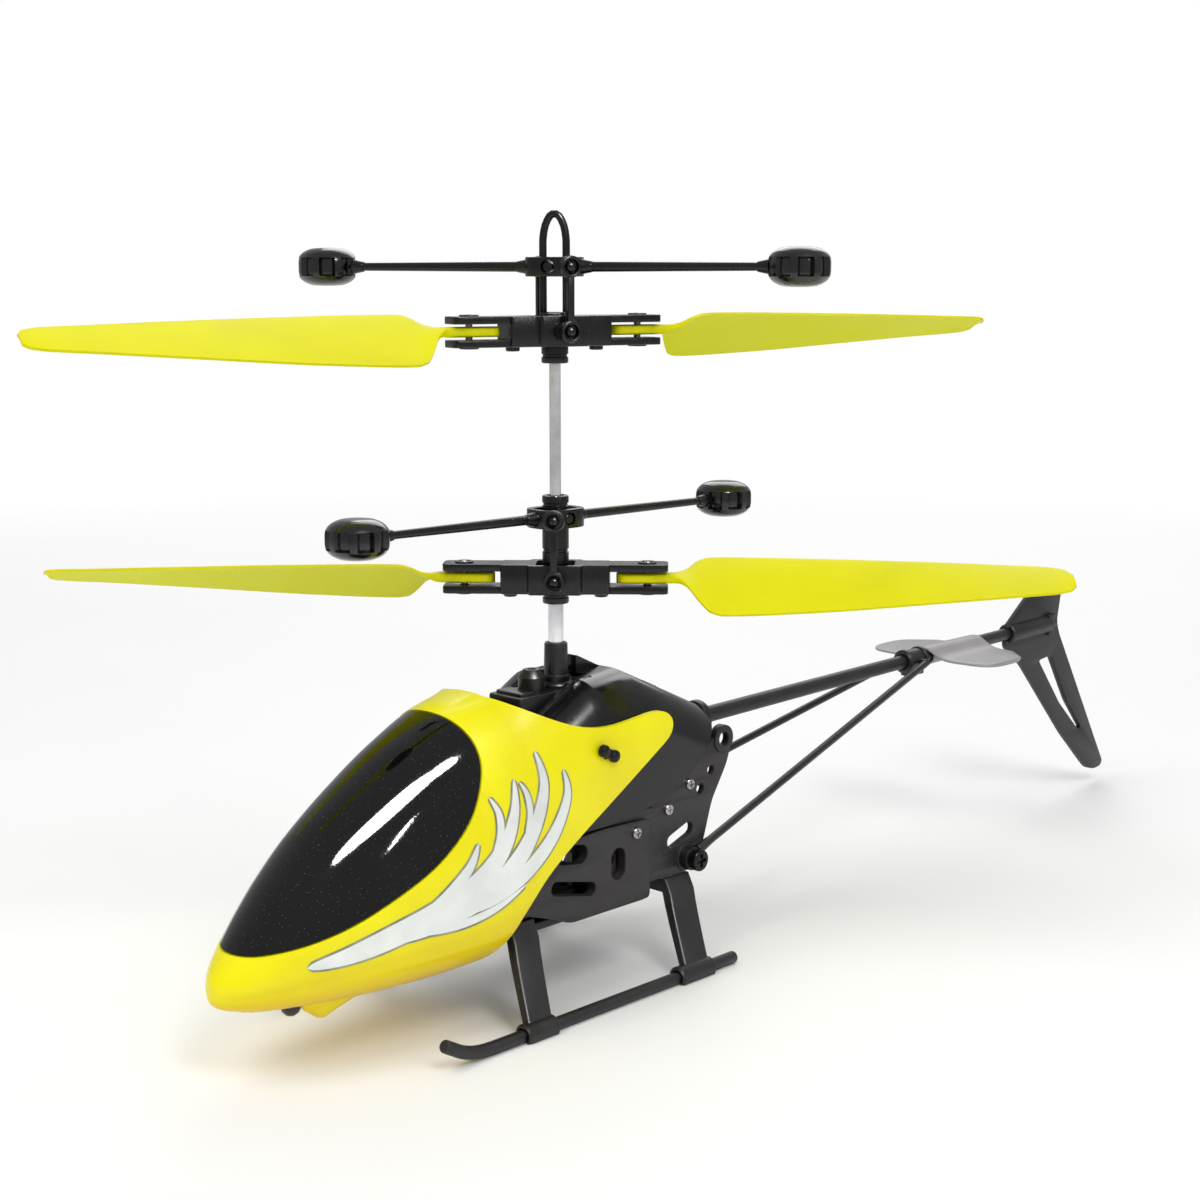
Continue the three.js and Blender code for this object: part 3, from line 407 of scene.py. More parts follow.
class Finish:
    """A procedural material: cloudy colour between two tones, uneven gloss and a fine grain."""

    def __init__(self, name, dark, light, rough, cloud=9.0, grain=0.35, relief=0.02, **extra):
        self.material = bpy.data.materials.new(name)
        self.material.use_nodes = True
        self.nodes = self.material.node_tree.nodes
        self.links = self.material.node_tree.links
        self.shader = self.nodes["Principled BSDF"]
        self.place = self.nodes.new("ShaderNodeTexCoord").outputs["Object"]
        clouds = self.noise(cloud, 3.0)
        grains = self.noise(grain, 2.0)
        self.colour = self.mix(self.spread(clouds, 0.35, 0.65), tone(dark), tone(light))
        self.links.new(self.colour, self.shader.inputs["Base Color"])
        mottled = self.math("ADD", self.math("MULTIPLY", clouds, 0.6), self.math("MULTIPLY", grains, 0.4))
        self.links.new(self.spread(mottled, 0.3, 0.7, *rough), self.shader.inputs["Roughness"])
        self.bump(grains, relief)
        for socket, value in extra.items():
            self.shader.inputs[socket.replace("_", " ")].default_value = value

    def feed(self, socket, value):
        """Gives a socket another node's output, or a plain value."""
        if isinstance(value, bpy.types.NodeSocket):
            self.links.new(value, socket)
        else:
            socket.default_value = value

    def texture(self, kind, output, size, **settings):
        """An output of a texture whose features are about this many millimetres across."""
        node = self.nodes.new(f"ShaderNodeTex{kind}")
        self.links.new(self.place, node.inputs["Vector"])
        node.inputs["Scale"].default_value = 1 / (size * MM)
        for socket, value in settings.items():
            node.inputs[socket].default_value = value
        return node.outputs[output]

    def noise(self, size, detail):
        return self.texture("Noise", "Fac", size, Detail=detail)

    def spread(self, value, low, high, new_low=0.0, new_high=1.0):
        """The value's range from low to high, stretched to the new range."""
        node = self.nodes.new("ShaderNodeMapRange")
        for socket, number in zip(node.inputs, (value, low, high, new_low, new_high)):
            self.feed(socket, number)
        return node.outputs["Result"]

    def math(self, operation, a, b):
        node = self.nodes.new("ShaderNodeMath")
        node.operation = operation
        for socket, value in zip(node.inputs, (a, b)):
            self.feed(socket, value)
        return node.outputs[0]

    def mix(self, share, a, b):
        node = self.nodes.new("ShaderNodeMix")
        node.data_type = "RGBA"
        for socket, value in ((node.inputs["Factor"], share), (node.inputs[6], a), (node.inputs[7], b)):
            self.feed(socket, value)
        return node.outputs[2]

    def bump(self, height, depth):
        """Bump of about this depth in millimetres, over any bump already there."""
        node = self.nodes.new("ShaderNodeBump")
        node.inputs["Strength"].default_value = 1.0
        node.inputs["Distance"].default_value = depth * MM
        self.links.new(height, node.inputs["Height"])
        below = self.shader.inputs["Normal"].links
        if below:
            self.links.new(below[0].from_socket, node.inputs["Normal"])
        self.links.new(node.outputs["Normal"], self.shader.inputs["Normal"])

    def repaint(self, share, colour):
        """Lays another display colour over the finish where share is high."""
        self.colour = self.mix(share, self.colour, tone(colour))
        self.links.new(self.colour, self.shader.inputs["Base Color"])

    def facing_down(self, low, high):
        """How far a surface faces the floor, 0 to 1."""
        normal = self.nodes.new("ShaderNodeNewGeometry").outputs["Normal"]
        parts = self.nodes.new("ShaderNodeSeparateXYZ")
        self.links.new(normal, parts.inputs[0])
        return self.spread(parts.outputs["Z"], low, high, 1.0, 0.0)


def canopy_paint():
    """Glossy yellow with painted shade: it turns a deeper, golden yellow where it faces the floor."""
    finish = Finish(
        "canopy_yellow_gloss", (240, 228, 0), (250, 242, 0), (0.24, 0.38), cloud=14, grain=0.5,
        relief=0.0015, Coat_Weight=0.2, Coat_Roughness=0.1, Specular_IOR_Level=0.25,
    )
    # Painted shade: faces turned to the floor are coloured a deeper golden yellow.
    finish.repaint(finish.facing_down(-0.8, 0.2), (226, 190, 0))
    return finish.material


def blade_plastic():
    """Satin yellow nylon, with painted shade: a greener yellow where it faces the floor."""
    finish = Finish(
        "blade_yellow_nylon", (218, 213, 0), (227, 223, 0), (0.4, 0.55), cloud=18, grain=0.4,
        relief=0.01, Specular_IOR_Level=0.12,
    )
    # Painted shade: faces turned to the floor take the greener yellow of a shaded underside.
    finish.repaint(finish.facing_down(-0.9, 0.1), (220, 222, 0))
    return finish.material


def smoked_gloss():
    """The windshield: near-black mirror gloss with fine grey flecks painted into its colour as painted
    glints of sparkle.
    """
    finish = Finish(
        "windshield_smoked", (6, 6, 8), (13, 13, 15), (0.03, 0.07), cloud=12, grain=0.6,
        relief=0.002, Coat_Weight=0.25, Coat_Roughness=0.02, Specular_IOR_Level=0.3,
    )
    # Painted glints: grey specks in the base colour stand in for the sparkle round the highlights.
    from_painted_glints = finish.texture("Voronoi", "Distance", 0.55)
    finish.repaint(finish.spread(from_painted_glints, 0.07, 0.12, 1.0, 0.0), (96, 98, 102))
    finish.bump(finish.noise(0.45, 1.0), 0.0035)
    return finish.material


def plastic(name, dark, light, rough, grain=0.35, relief=0.02, **extra):
    """Moulded plastic, or any finish with no pattern of its own."""
    return Finish(name, dark, light, rough, cloud=7, grain=grain, relief=relief, **extra).material


def brushed_metal(name, dark, light, rough, metal=1.0):
    """Drawn metal with fine lines round it."""
    finish = Finish(name, dark, light, rough, cloud=4, grain=0.3, relief=0.004, Metallic=metal)
    rings = finish.texture("Wave", "Fac", 0.4, Distortion=2.0)
    rings.node.bands_direction = "Z"
    finish.bump(rings, 0.0015)
    return finish.material


LOOKS = {
    "canopy_yellow": canopy_paint(),
    "windshield_black": smoked_gloss(),
    "frame_black": plastic("frame_charcoal", (25, 21, 25), (37, 32, 36), (0.42, 0.58)),
    "cover_black": plastic(
        "cover_gloss_black", (8, 7, 9), (18, 16, 18), (0.14, 0.28), relief=0.008, Coat_Weight=0.2,
        Specular_IOR_Level=0.3,
    ),
    "landing_gear_black": plastic("gear_satin_black", (17, 14, 17), (28, 24, 27), (0.38, 0.52)),
    "tail_black": plastic("tail_satin_black", (17, 15, 17), (27, 25, 27), (0.34, 0.48)),
    "screw_black": plastic(
        "screw_blackened_steel", (18, 17, 18), (34, 32, 33), (0.22, 0.4), Metallic=0.6,
    ),
    "motor_can": brushed_metal("motor_can_steel", (150, 150, 146), (186, 186, 180), (0.28, 0.42)),
    "gear_white": plastic("gear_white_acetal", (222, 220, 208), (238, 236, 226), (0.38, 0.5)),
    "battery_foil": plastic(
        "battery_pouch_foil", (170, 174, 180), (200, 203, 208), (0.3, 0.5), grain=0.8, relief=0.05,
        Metallic=0.8,
    ),
    "circuit_board": plastic("board_green_mask", (16, 70, 38), (30, 98, 56), (0.3, 0.45)),
    "sensor_lens": plastic("sensor_dark_lens", (16, 12, 18), (30, 22, 30), (0.06, 0.14)),
    "shaft_steel": brushed_metal(
        "shaft_polished_steel", (214, 214, 218), (240, 240, 243), (0.1, 0.2), metal=0.85,
    ),
    "rotor_head_black": plastic(
        "head_black_nylon", (6, 6, 7), (14, 14, 15), (0.2, 0.34), relief=0.006,
        Specular_IOR_Level=0.4,
    ),
    "flybar_weight_black": plastic(
        "weight_gloss_black", (5, 5, 6), (13, 13, 14), (0.12, 0.24), relief=0.008, Coat_Weight=0.3,
    ),
    "blade_yellow": blade_plastic(),
    "mast_black": plastic("mast_black_nylon", (14, 13, 14), (28, 26, 28), (0.28, 0.42), relief=0.015),
    # Painted sheen: the tailplane's grey colour stands in for the sheen on its top.
    "tail_sheen": plastic("tail_grey_painted_sheen", (142, 139, 142), (151, 148, 151), (0.3, 0.42), relief=0.01),
    "bright_screw": brushed_metal("screw_nickel", (150, 146, 146), (190, 186, 186), (0.18, 0.3)),
    "flame_face": Finish(
        "flame_silver_print", (224, 229, 226), (240, 242, 239), (0.3, 0.42), cloud=7, grain=0.3,
        relief=0.004, Metallic=0.25,
    ).material,
    "flame_edge": Finish(
        "flame_grey_print", (120, 124, 96), (160, 162, 128), (0.35, 0.5), cloud=3, relief=0.004,
    ).material,
    "pin_steel": brushed_metal("pin_plated_steel", (120, 110, 104), (160, 150, 142), (0.25, 0.4)),
}


# ---- Canopy --------------------------------------------------------------------------------------
# Sections from nose to tail: x, half width, top, widest height, bottom, squareness of the top.
CANOPY_SECTIONS = [
    (67.7, 0.0, 2.5, 1.6, 0.9, 2.0),
    (66.8, 2.6, 4.6, 1.8, -0.6, 2.0),
    (65.2, 4.4, 6.4, 2.1, -1.2, 2.1),
    (63.0, 6.0, 8.8, 2.5, -1.8, 2.1),
    (60.0, 7.5, 12.4, 3.0, -2.2, 2.1),
    (56.0, 9.0, 16.8, 3.6, -2.6, 2.1),
    (50.5, 10.5, 21.9, 4.3, -3.1, 2.1),
    (42.5, 12.2, 27.4, 5.0, -3.5, 2.2),
    (33.5, 13.6, 32.6, 5.6, -3.6, 2.3),
    (26.0, 14.5, 35.7, 6.4, -3.3, 2.5),
    (19.4, 14.9, 37.2, 7.8, -2.6, 2.7),
    (14.0, 14.9, 39.0, 9.2, -1.2, 3.0),
    (7.0, 14.8, 42.4, 10.6, 0, 3.0),
    (-2.0, 14.6, 44.6, 11.6, 2, 3.0),
    (-15.0, 14.4, 46.5, 12.5, 4, 3.0),
]
CANOPY_NOSE = CANOPY_SECTIONS[0][0]
CANOPY_TAIL = CANOPY_SECTIONS[-1][0]
CANOPY_WALL = 0.9
CHIN_SQUARENESS = 2.5
CHINE_STEP = 0.3            # the flank steps in by this much along its widest line
CANOPY_RINGS = 96
CANOPY_SIDES = 120
NOSE_POINT = 0.004          # how far along the canopy its first ring is, as a share
THINNEST = 0.02             # no ring is narrower or lower than this


def canopy_body(inset):
    """The canopy as a closed blob, smaller all round by inset. Rings are close together at the nose."""
    table = [(math.sqrt(CANOPY_NOSE - row[0]), *row[1:]) for row in CANOPY_SECTIONS]
    reach = math.sqrt(CANOPY_NOSE - CANOPY_TAIL)
    shares = [k / (CANOPY_RINGS - 1) for k in range(CANOPY_RINGS)]
    keys = [reach * (NOSE_POINT + (1 - NOSE_POINT) * share) for share in shares]
    rings = []
    for key, half, top, waist, bottom, squareness in smooth_table(table, keys):
        x = CANOPY_NOSE - key ** 2 - inset * max(0.0, 1 - key / 3)
        wide = max(half - inset, THINNEST)
        ring = []
        for c, s in around(CANOPY_SIDES):
            power = 2 / (squareness if s > 0 else CHIN_SQUARENESS)
            height = max(top - inset - waist if s > 0 else waist - bottom - inset, THINNEST)
            step = CHINE_STEP * min(1.0, max(0.0, -s) / 0.16) * min(1.0, half / 9)
            y = (wide - step) * signed_power(c, power)
            ring.append((x, y, waist + height * signed_power(s, power)))
        rings.append(ring)
    return loft(rings)


def bezier(start, steps, *controls):
    """Points on a cubic curve from start through two controls to its end, start left out."""
    points = [Vector(start)] + [Vector(point) for point in controls]
    out = []
    for i in range(1, steps + 1):
        t = i / steps
        a, b, c, d = (1 - t) ** 3, 3 * t * (1 - t) ** 2, 3 * t ** 2 * (1 - t), t ** 3
        point = points[0] * a + points[1] * b + points[2] * c + points[3] * d
        out.append((point.x, point.y))
    return out


def canopy_keep():
    """The side view of all that is canopy. Its rear edge runs down the roof, out round the ear and
    forward to the chin."""
    edge = [(75, -6), (75, 45), (19.4, 45), (19.4, 37)]
    edge += bezier((19.4, 37), 14, (14, 34), (8, 30.5), (0, 30.8))
    edge += bezier((0, 30.8), 10, (-5, 31), (-8.5, 31.9), (-10.8, 31.2))
    edge += bezier((-10.8, 31.2), 10, (-13.2, 30.4), (-13.4, 28), (-10.6, 26.4))
    edge += [(4.4, 18)]
    edge += bezier((4.4, 18), 14, (13.5, 13), (18.6, 9.6), (22, 4.2))
    edge += [(26.2, -2.4), (26.2, -6)]
    return edge


def curve_through(points, steps):
    """Points along a smooth open curve through the given ones."""
    out = []
    for k in range(len(points) - 1):
        before, a = Vector(points[max(k - 1, 0)]), Vector(points[k])
        b, after = Vector(points[k + 1]), Vector(points[min(k + 2, len(points) - 1)])
        for i in range(steps):
            t = i / steps
            point = 0.5 * (
                2 * a + (b - before) * t + (2 * before - 5 * a + 4 * b - after) * t ** 2
                + (3 * a - before - 3 * b + after) * t ** 3
            )
            out.append((point.x, point.y))
    return out + [tuple(points[-1])]


def headings(points):
    """The unit direction of a path at each of its points."""
    out = []
    for k in range(len(points)):
        before, after = points[max(k - 1, 0)], points[min(k + 1, len(points) - 1)]
        out.append(Vector((after[0] - before[0], after[1] - before[1])).normalized())
    return out


WINDOW_POINTS = [
    (72, 12.0), (66.3, 7.1), (60, 7.3), (51.3, 9.2), (43.5, 12.2), (36, 16.0),
    (30.2, 21.0), (26.8, 27.0), (26.0, 31.0), (26.8, 34.4), (29.0, 38), (32.5, 42),
]
WINDOW_GAP = 0.25


def window_outline(inset):
    """The window opening in side view, smaller all round by inset."""
    points = curve_through(WINDOW_POINTS, 6)
    edge = [(x + along.y * inset, z - along.x * inset) for (x, z), along in zip(points, headings(points))]
    return edge + [(74, 42)]


def prism(outline, y0=-20.0, y1=20.0):
    """An outline of the side view, run straight through from y0 to y1."""
    return loft([[(x, y, z) for x, z in outline] for y in (y0, y1)])


IR_WINDOW = centre("infrared_sensor")
EAR_STUD = centre("canopy_stud_left")
# The keel under the chin: x, bottom, half width.
CHIN_KEEL = [
    (56.5, -1.6, 0.5), (54.5, -3.4, 1.3), (52.4, -4.9, 1.4), (51.4, -5.1, 1.4), (49, -4.3, 1.6),
    (44, -3.0, 1.4),
]
CHIN_KEEL_Y = 4
CHIN_KEEL_TOP = 0.5


def chin_lug():
    """A small keel under the left of the chin that falls to a point and rises again behind it."""
    rings = []
    for x, bottom, half in CHIN_KEEL:
        rings.append([
            (x, CHIN_KEEL_Y + half * c, bottom + (CHIN_KEEL_TOP - bottom) * (0.5 + 0.5 * s))
            for c, s in around(20)
        ])
    return loft(rings)


canopy_inside = mesh_of(canopy_body(CANOPY_WALL))
sensor_hole = rod((IR_WINDOW.x, IR_WINDOW.y, -6), (IR_WINDOW.x, IR_WINDOW.y, 0), 1.8)
stud_holes = rod((EAR_STUD.x, -20, EAR_STUD.z), (EAR_STUD.x, 20, EAR_STUD.z), 1.0)
shell = joined(combined(canopy_body(0.0), "INTERSECT", prism(canopy_keep())), chin_lug())
shell = cut(shell, canopy_inside, prism(window_outline(0.0)), sensor_hole, stud_holes)
show("canopy", shell, "canopy_yellow", "canopy_shell", sharp=38)

WINDSHIELD_RECESS = 0.1
pane = combined(canopy_body(WINDSHIELD_RECESS), "INTERSECT", prism(window_outline(WINDOW_GAP)))
show("windshield_glazing", cut(pane, canopy_inside), "windshield_black", "windshield")


# ---- Frame ---------------------------------------------------------------------------------------
# Distances from the centre plane: the side frame's inner and outer face, and its raised panel's.
FRAME_IN, FRAME_OUT, PANEL_OUT = 9.9, 11.1, 11.8
FRAME_EDGE = 0.14
TAB_HOLE = (-28.3, 23.4)
STRUT_SCREW = centre("strut_screw_left")
SCREW_AT = (STRUT_SCREW.x, STRUT_SCREW.z)
FRAME_OUTLINE = [
    (20.5, 3.2), (20.5, 13.8), (5, 14.4), (3.4, 27.9), (-8.6, 27.9), (-22.4, 21.6), (-26.2, 24.0),
    (-28.3, 25.75), (-30.65, 23.4), (-29.4, 19.2), (-25.6, 13.4), (-23.2, 6.1), (-21.8, 2.6),
    (-9.6, 2.6), (-9.6, 0), (8, 0), (15.8, 3.2),
]
PANEL_OUTLINE = [(19.6, 4.2), (19.6, 13.2), (1.0, 14.0), (-9.4, 13.6), (-9.6, 0.4), (8, 0.4)]
FRAME_SLOTS = [
    ((-15.6, 8.3), (-19.6, 9.7), 1.1), ((-2.1, 6.6), (-2.1, 8.6), 1.6),
    ((4.2, 4.9), (11.8, 6.6), 1.1), ((6.4, 11.0), (10.2, 11.6), 1.5),
]
FRAME_HOLES = [(*TAB_HOLE, 1.2), (-25.2, 18.6, 0.8), (-22.6, 15.9, 0.9), (*SCREW_AT, 0.85)]
FRAME_SCREWS = [(-19.8, 17.2), (-14.6, 13.9), (16.8, 8.2), (-6.2, 11.8)]
FRAME_SCREW_R = 0.95


def side_frame():
    """The left side frame: a plate with bosses, a raised lower panel, a rib and slots."""
    holes = [circle(*hole) for hole in FRAME_HOLES] + [slot_outline(*one) for one in FRAME_SLOTS]
    base = plate([filleted(FRAME_OUTLINE, 1.3)] + holes, FRAME_IN, FRAME_OUT, FRAME_EDGE, SIDE_VIEW)
    panel_holes = [slot_outline(*one) for one in FRAME_SLOTS[1:]]
    panel_outline = filleted(PANEL_OUTLINE, 1.0)
    panel = plate([panel_outline] + panel_holes, FRAME_OUT - 0.3, PANEL_OUT, FRAME_EDGE, SIDE_VIEW)
    parts = [base, panel]
    for (x, z), outer, inner in ((TAB_HOLE, 2.35, 1.2), (SCREW_AT, 2.3, 0.85)):
        boss = [circle(x, z, outer), circle(x, z, inner)]
        parts.append(plate(boss, FRAME_IN, FRAME_OUT + 0.25, 0.12, SIDE_VIEW))
    rib = [(-10.6, 14.4), (-10.6, 15.1), (2.2, 15.5), (2.2, 14.8)]
    parts.append(plate([rib], FRAME_OUT - 0.2, FRAME_OUT + 0.35, 0.1, SIDE_VIEW))
    return merged(*parts)


def screw_head(x, z, low, high, radius):
    """A pan-head screw in the side view, with a crossed recess."""
    head = rod((x, low, z), (x, high, z), radius, edge=0.25, sides=28)
    arm, thin, deep = radius * 0.62, radius * 0.16, (high - low) * 0.35
    crosses = [
        brick((x - arm, high - deep, z - thin), (x + arm, high + 1, z + thin)),
        brick((x - thin, high - deep, z - arm), (x + thin, high + 1, z + arm)),
    ]
    return cut(head, *crosses)


show_both("frame_plate", side_frame(), "frame_black", "side_frame")


# ---- Rotor heads ---------------------------------------------------------------------------------
# Each head is drawn with its blade line along x, at height 0, and turned and lifted into place.
LINK_R = 5.5                # the ball links, from the mast
BALL_R = 0.9
ARM_R = 0.45                # the arms that carry the balls
HOLDER_HALF = 2.35          # half height of a blade holder
FORK_HALF = 2.4             # half width of a blade fork
FORK_END = 17.8
FORK_GAP_HALF = 1.2
PIN_HOLE_R = 0.85
HUB_R = 2.1
TEETER_REACH = 3.35


class Head:
    """Where a rotor head's pieces are, read off its CAD nodes."""

    def __init__(self, name, spin):
        self.name = name
        self.spin = spin
        self.pin_r, self.heading, self.holder_z = self.pair("blade_pin")
        self.flybar_r, self.flybar_heading, self.flybar_z = self.pair("weight")
        self.flybar_turn = self.flybar_heading - self.heading

    def pair(self, node):
        """How far a pair of nodes is from the mast, the heading of its first one, and its height."""
        first, second = centre(f"{self.name}_{node}_a"), centre(f"{self.name}_{node}_b")
        across = first - second
        return across.length / 2, math.degrees(math.atan2(across.y, across.x)), first.z


def rounded_block(low, high, radius=0.35, edge=0.18):
    """A block whose upright corners are rounded and whose edges are softened."""
    (x0, y0, z0), (x1, y1, z1) = low, high
    return plate([filleted([(x0, y0), (x1, y0), (x1, y1), (x0, y1)], radius)], z0, z1, edge)


def blade_holder(head):
    """The bar that carries both blades: a frame round the hub with an open fork at each end."""
    half = HOLDER_HALF
    corners = [(8.6, 2.9), (4.4, 2.9), (4.0, 3.95), (-4.0, 3.95), (-4.4, 2.9), (-8.6, 2.9)]
    outer = corners + [(-x, -y) for x, y in corners]
    window = filleted([(3, 2.85), (-3, 2.85), (-3, -2.85), (3, -2.85)], 0.6)
    parts = [plate([filleted(outer, 0.45), window], -half, half, 0.2)]
    trunnion_bores = []
    for side in (1, -1):
        ends = [(7.8, FORK_HALF), (FORK_END, FORK_HALF), (FORK_END, -FORK_HALF), (7.8, -FORK_HALF)]
        fork = filleted([(side * x, y) for x, y in ends], 1.1)
        pin_hole = circle(side * head.pin_r, 0, PIN_HOLE_R, 20)
        boss = circle(side * head.pin_r, 0, 1.5)
        peg_x = side * 7.2
        parts += [
            plate([fork, pin_hole], FORK_GAP_HALF, half, 0.14),
            plate([fork, pin_hole], -half, -FORK_GAP_HALF, 0.14),
            plate([boss, pin_hole], half - 0.2, half + 0.25, 0.1),
            plate([boss, pin_hole], -half - 0.25, 0.2 - half, 0.1),
            rod((peg_x, 0, -half - 0.7), (peg_x, 0, -half + 0.5), 1.1, edge=0.25, sides=24),
            rod((0, side * 3.6, 0), (0, side * LINK_R, 0), ARM_R),
            ball((0, side * LINK_R, 0), BALL_R),
        ]
        trunnion_bores.append(rod((side * 2, 0, 0), (side * 4.7, 0, 0), 1.15, edge=0.05, sides=20))
    return cut(joined(*parts), *trunnion_bores)


def flybar_bar(head):
    """The bar above the blades, drawn along x: a ring round the hub, two rods and two ball arms."""
    outer = filleted([(4.4, 3.5), (-4.4, 3.5), (-4.4, -3.5), (4.4, -3.5)], 3.4, 8)
    inner = filleted([(3.5, 2.4), (-3.5, 2.4), (-3.5, -2.4), (3.5, -2.4)], 2.2, 8)
    parts = [plate([outer, inner], -1.5, 1.5, 0.2)]
    arm_turn = math.radians(90 - head.flybar_turn)
    reach = head.flybar_r
    # A thin rod, its root and the collar before its weight: start, end, radius at each, edge, sides.
    bars = [
        (4.0, reach - 1.5, 0.8, 0.6, 0.15, 20), (3.9, 6.2, 1.25, 0.85, 0.1, 24),
        (reach - 6.4, reach - 4.5, 0.8, 1.15, 0.1, 24),
    ]
    for side in (1, -1):
        parts += [rod((side * start, 0, 0), (side * end, 0, 0), *shape) for start, end, *shape in bars]
        arm = Vector((math.cos(arm_turn), math.sin(arm_turn), 0)) * side
        parts += [rod(arm * 3.8, arm * LINK_R, ARM_R), ball(arm * LINK_R, BALL_R)]
    return cut(joined(*parts), rod((0, -5, 0), (0, 5, 0), 1.1, sides=20))


# The upper half of a flybar weight's profile: radius, height.
WEIGHT_PROFILE = [
    (4.7, 0.7), (4.64, 1.1), (4.58, 1.38), (4.56, 1.45), (4.45, 1.6), (4.2, 1.95), (3.8, 2.3), (3.2, 2.62),
    (2.6, 2.84), (2.0, 2.93), (1.2, 2.98), (0, 3.0),
]
WEIGHT_WINDOWS = 8
WINDOW_STEPS = 10           # steps round a weight to each window and the post beside it
WINDOW_HALF_HEIGHT = 1.4
WEIGHT_RECESS = 0.8


def flybar_weight():
    """A button-shaped weight: domed above and below, with a band of shallow windows round it."""
    profile = [(r, -z) for r, z in reversed(WEIGHT_PROFILE)] + [(4.7, 0.0)] + WEIGHT_PROFILE
    rings = []
    for radius, z in profile:
        ring = []
        for i, (c, s) in enumerate(around(WEIGHT_WINDOWS * WINDOW_STEPS)):
            in_window = 3 <= i % WINDOW_STEPS <= 8 and abs(z) < WINDOW_HALF_HEIGHT
            r = radius - (WEIGHT_RECESS if in_window else 0.0)
            ring.append((r * c, r * s, z))
        rings.append(ring)
    return loft(rings)


def ball_link(side, low, high):
    """An upright rod with a ball eye at each end."""
    y = side * LINK_R
    half_eye = [(1.72, 0.3), (1.65, 0.5), (1.45, 0.58), (1.22, 0.5)]
    eye = lathe([(r, -z) for r, z in reversed(half_eye)] + half_eye, 36, hollow=True)
    eyes = [shifted(moved(eye, Z_TO_Y), 0, y, z) for z in (low, high)]
    bar = rounded_block((-0.55, y - 0.45, low + 1.45), (0.55, y + 0.45, high - 1.45), 0.25, 0.1)
    return merged(*eyes, bar)


# Blade stations: radius, leading edge, trailing edge (ahead of and behind the blade line), pitch.
BLADE_STATIONS = [
    (18.9, 1.6, -1.6, 2), (20.4, 2.8, -2.8, 12), (22.6, 4.8, -6.4, 25), (24.4, 5.3, -8.8, 28),
    (26.4, 5.4, -9.6, 28), (40, 5.3, -9.0, 26.5), (60, 5.0, -7.1, 22), (77, 4.3, -4.9, 18),
    (80.5, 3.1, -3.7, 18), (81.5, 1.2, -2.2, 18),
]
BLADE_SIDES = 48
BLADE_START = 18.9          # where the stations above begin
TONGUE_HALF_WIDTH, TONGUE_HALF_HEIGHT = 1.6, 0.8


def blade(head):
    """A blade along +x: a round-ended tongue for the fork, a twisted neck and a cambered aerofoil."""
    half, pin_r = TONGUE_HALF_WIDTH, head.pin_r
    round_centre = pin_r - 3.3
    arc = [math.radians(a) for a in (4, 20, 40, 60, 75, 90)]
    outline = [(round_centre - half * math.cos(a), half * math.sin(a)) for a in arc]
    outline += [(round_centre + 2, half), (pin_r, half), (pin_r + 0.9, 1.5), (pin_r + 1.6, 1.3)]
    outline.append((18.2, 1.3))
    rings = [blade_section(x, wide, -wide, 0, 0.0, head.spin) for x, wide in outline]
    radii = [18.7 + 0.4 * k for k in range(22)] + [28 + 1.5 * k for k in range(34)]
    radii += [78 + 0.35 * k for k in range(10)] + [81.3, 81.5]
    for radius, lead, trail, pitch in smooth_table(BLADE_STATIONS, [max(r, BLADE_START) for r in radii]):
        share = min(1.0, max(0.0, (radius - 18.6) / 2.6))
        rings.append(blade_section(radius, lead, trail, pitch, share, head.spin))
    return cut(loft(rings), rod((pin_r, 0, -2), (pin_r, 0, 2), PIN_HOLE_R, sides=20))


def blade_section(x, lead, trail, pitch, share, spin):
    """One ring of a blade, between a rounded bar (share 0) and an aerofoil (share 1)."""
    c, s = math.cos(math.radians(pitch)), math.sin(math.radians(pitch))
    ring = []
    for across, up in around(BLADE_SIDES):
        bar_y = signed_power(across, 0.45) * (lead - trail) / 2 + (lead + trail) / 2
        bar_z = signed_power(up, 0.45) * TONGUE_HALF_HEIGHT
        behind = (1 - across) / 2
        skin = 0.62 * math.sqrt(behind) * (1 - behind) ** 0.9 * 1.55 + 0.12
        foil_z = skin if up >= 0 else skin - 0.42 - 0.3 * math.sin(math.pi * behind) * 0.2
        foil_y = lead + (trail - lead) * behind
        along = bar_y * (1 - share) + foil_y * share
        height = bar_z * (1 - share) + foil_z * share
        ring.append((x, spin * (along * c - height * s), along * s + height * c))
    return ring


def grooved(low, high, radius, grooves):
    """The outer profile of a turned post, with rounded rims and shallow grooves at given heights."""
    rim = [(0.25, 0), (0.06, 0.08), (0, 0.25)]
    groove = [(0, -0.28), (0.18, -0.18), (0.18, 0.18), (0, 0.28)]
    profile = [(radius - inset, low + rise) for inset, rise in rim]
    for z in grooves:
        profile += [(radius - inset, z + rise) for inset, rise in groove]
    return profile + [(radius - inset, high - rise) for inset, rise in reversed(rim)]


def lower_hub(head):
    """A turned sleeve on the outer shaft."""
    low, high = (corner.z for corner in span("lower_hub"))
    outside = grooved(low, high, HUB_R, [low + 1.2, 57.0, high - 1.4])
    return fitted_hub(head, lathe([(1.4, low), *outside, (1.4, high)], 44, hollow=True))


def fitted_hub(head, *posts):
    """A hub's posts with the trunnions for its blade holder and its flybar."""
    pivots = []
    for side in (1, -1):
        low, high = head.holder_z, head.flybar_z
        pivots.append(rod((side * 1.85, 0, low), (side * 4.3, 0, low), 0.85, sides=20))
        stub = rod((0, side * 1.85, high), (0, side * TEETER_REACH, high), 0.8, sides=20)
        pivots.append(turned(stub, head.flybar_turn))
    return merged(*posts, *pivots)


UPPER_SOCKET_TOP = 94.0


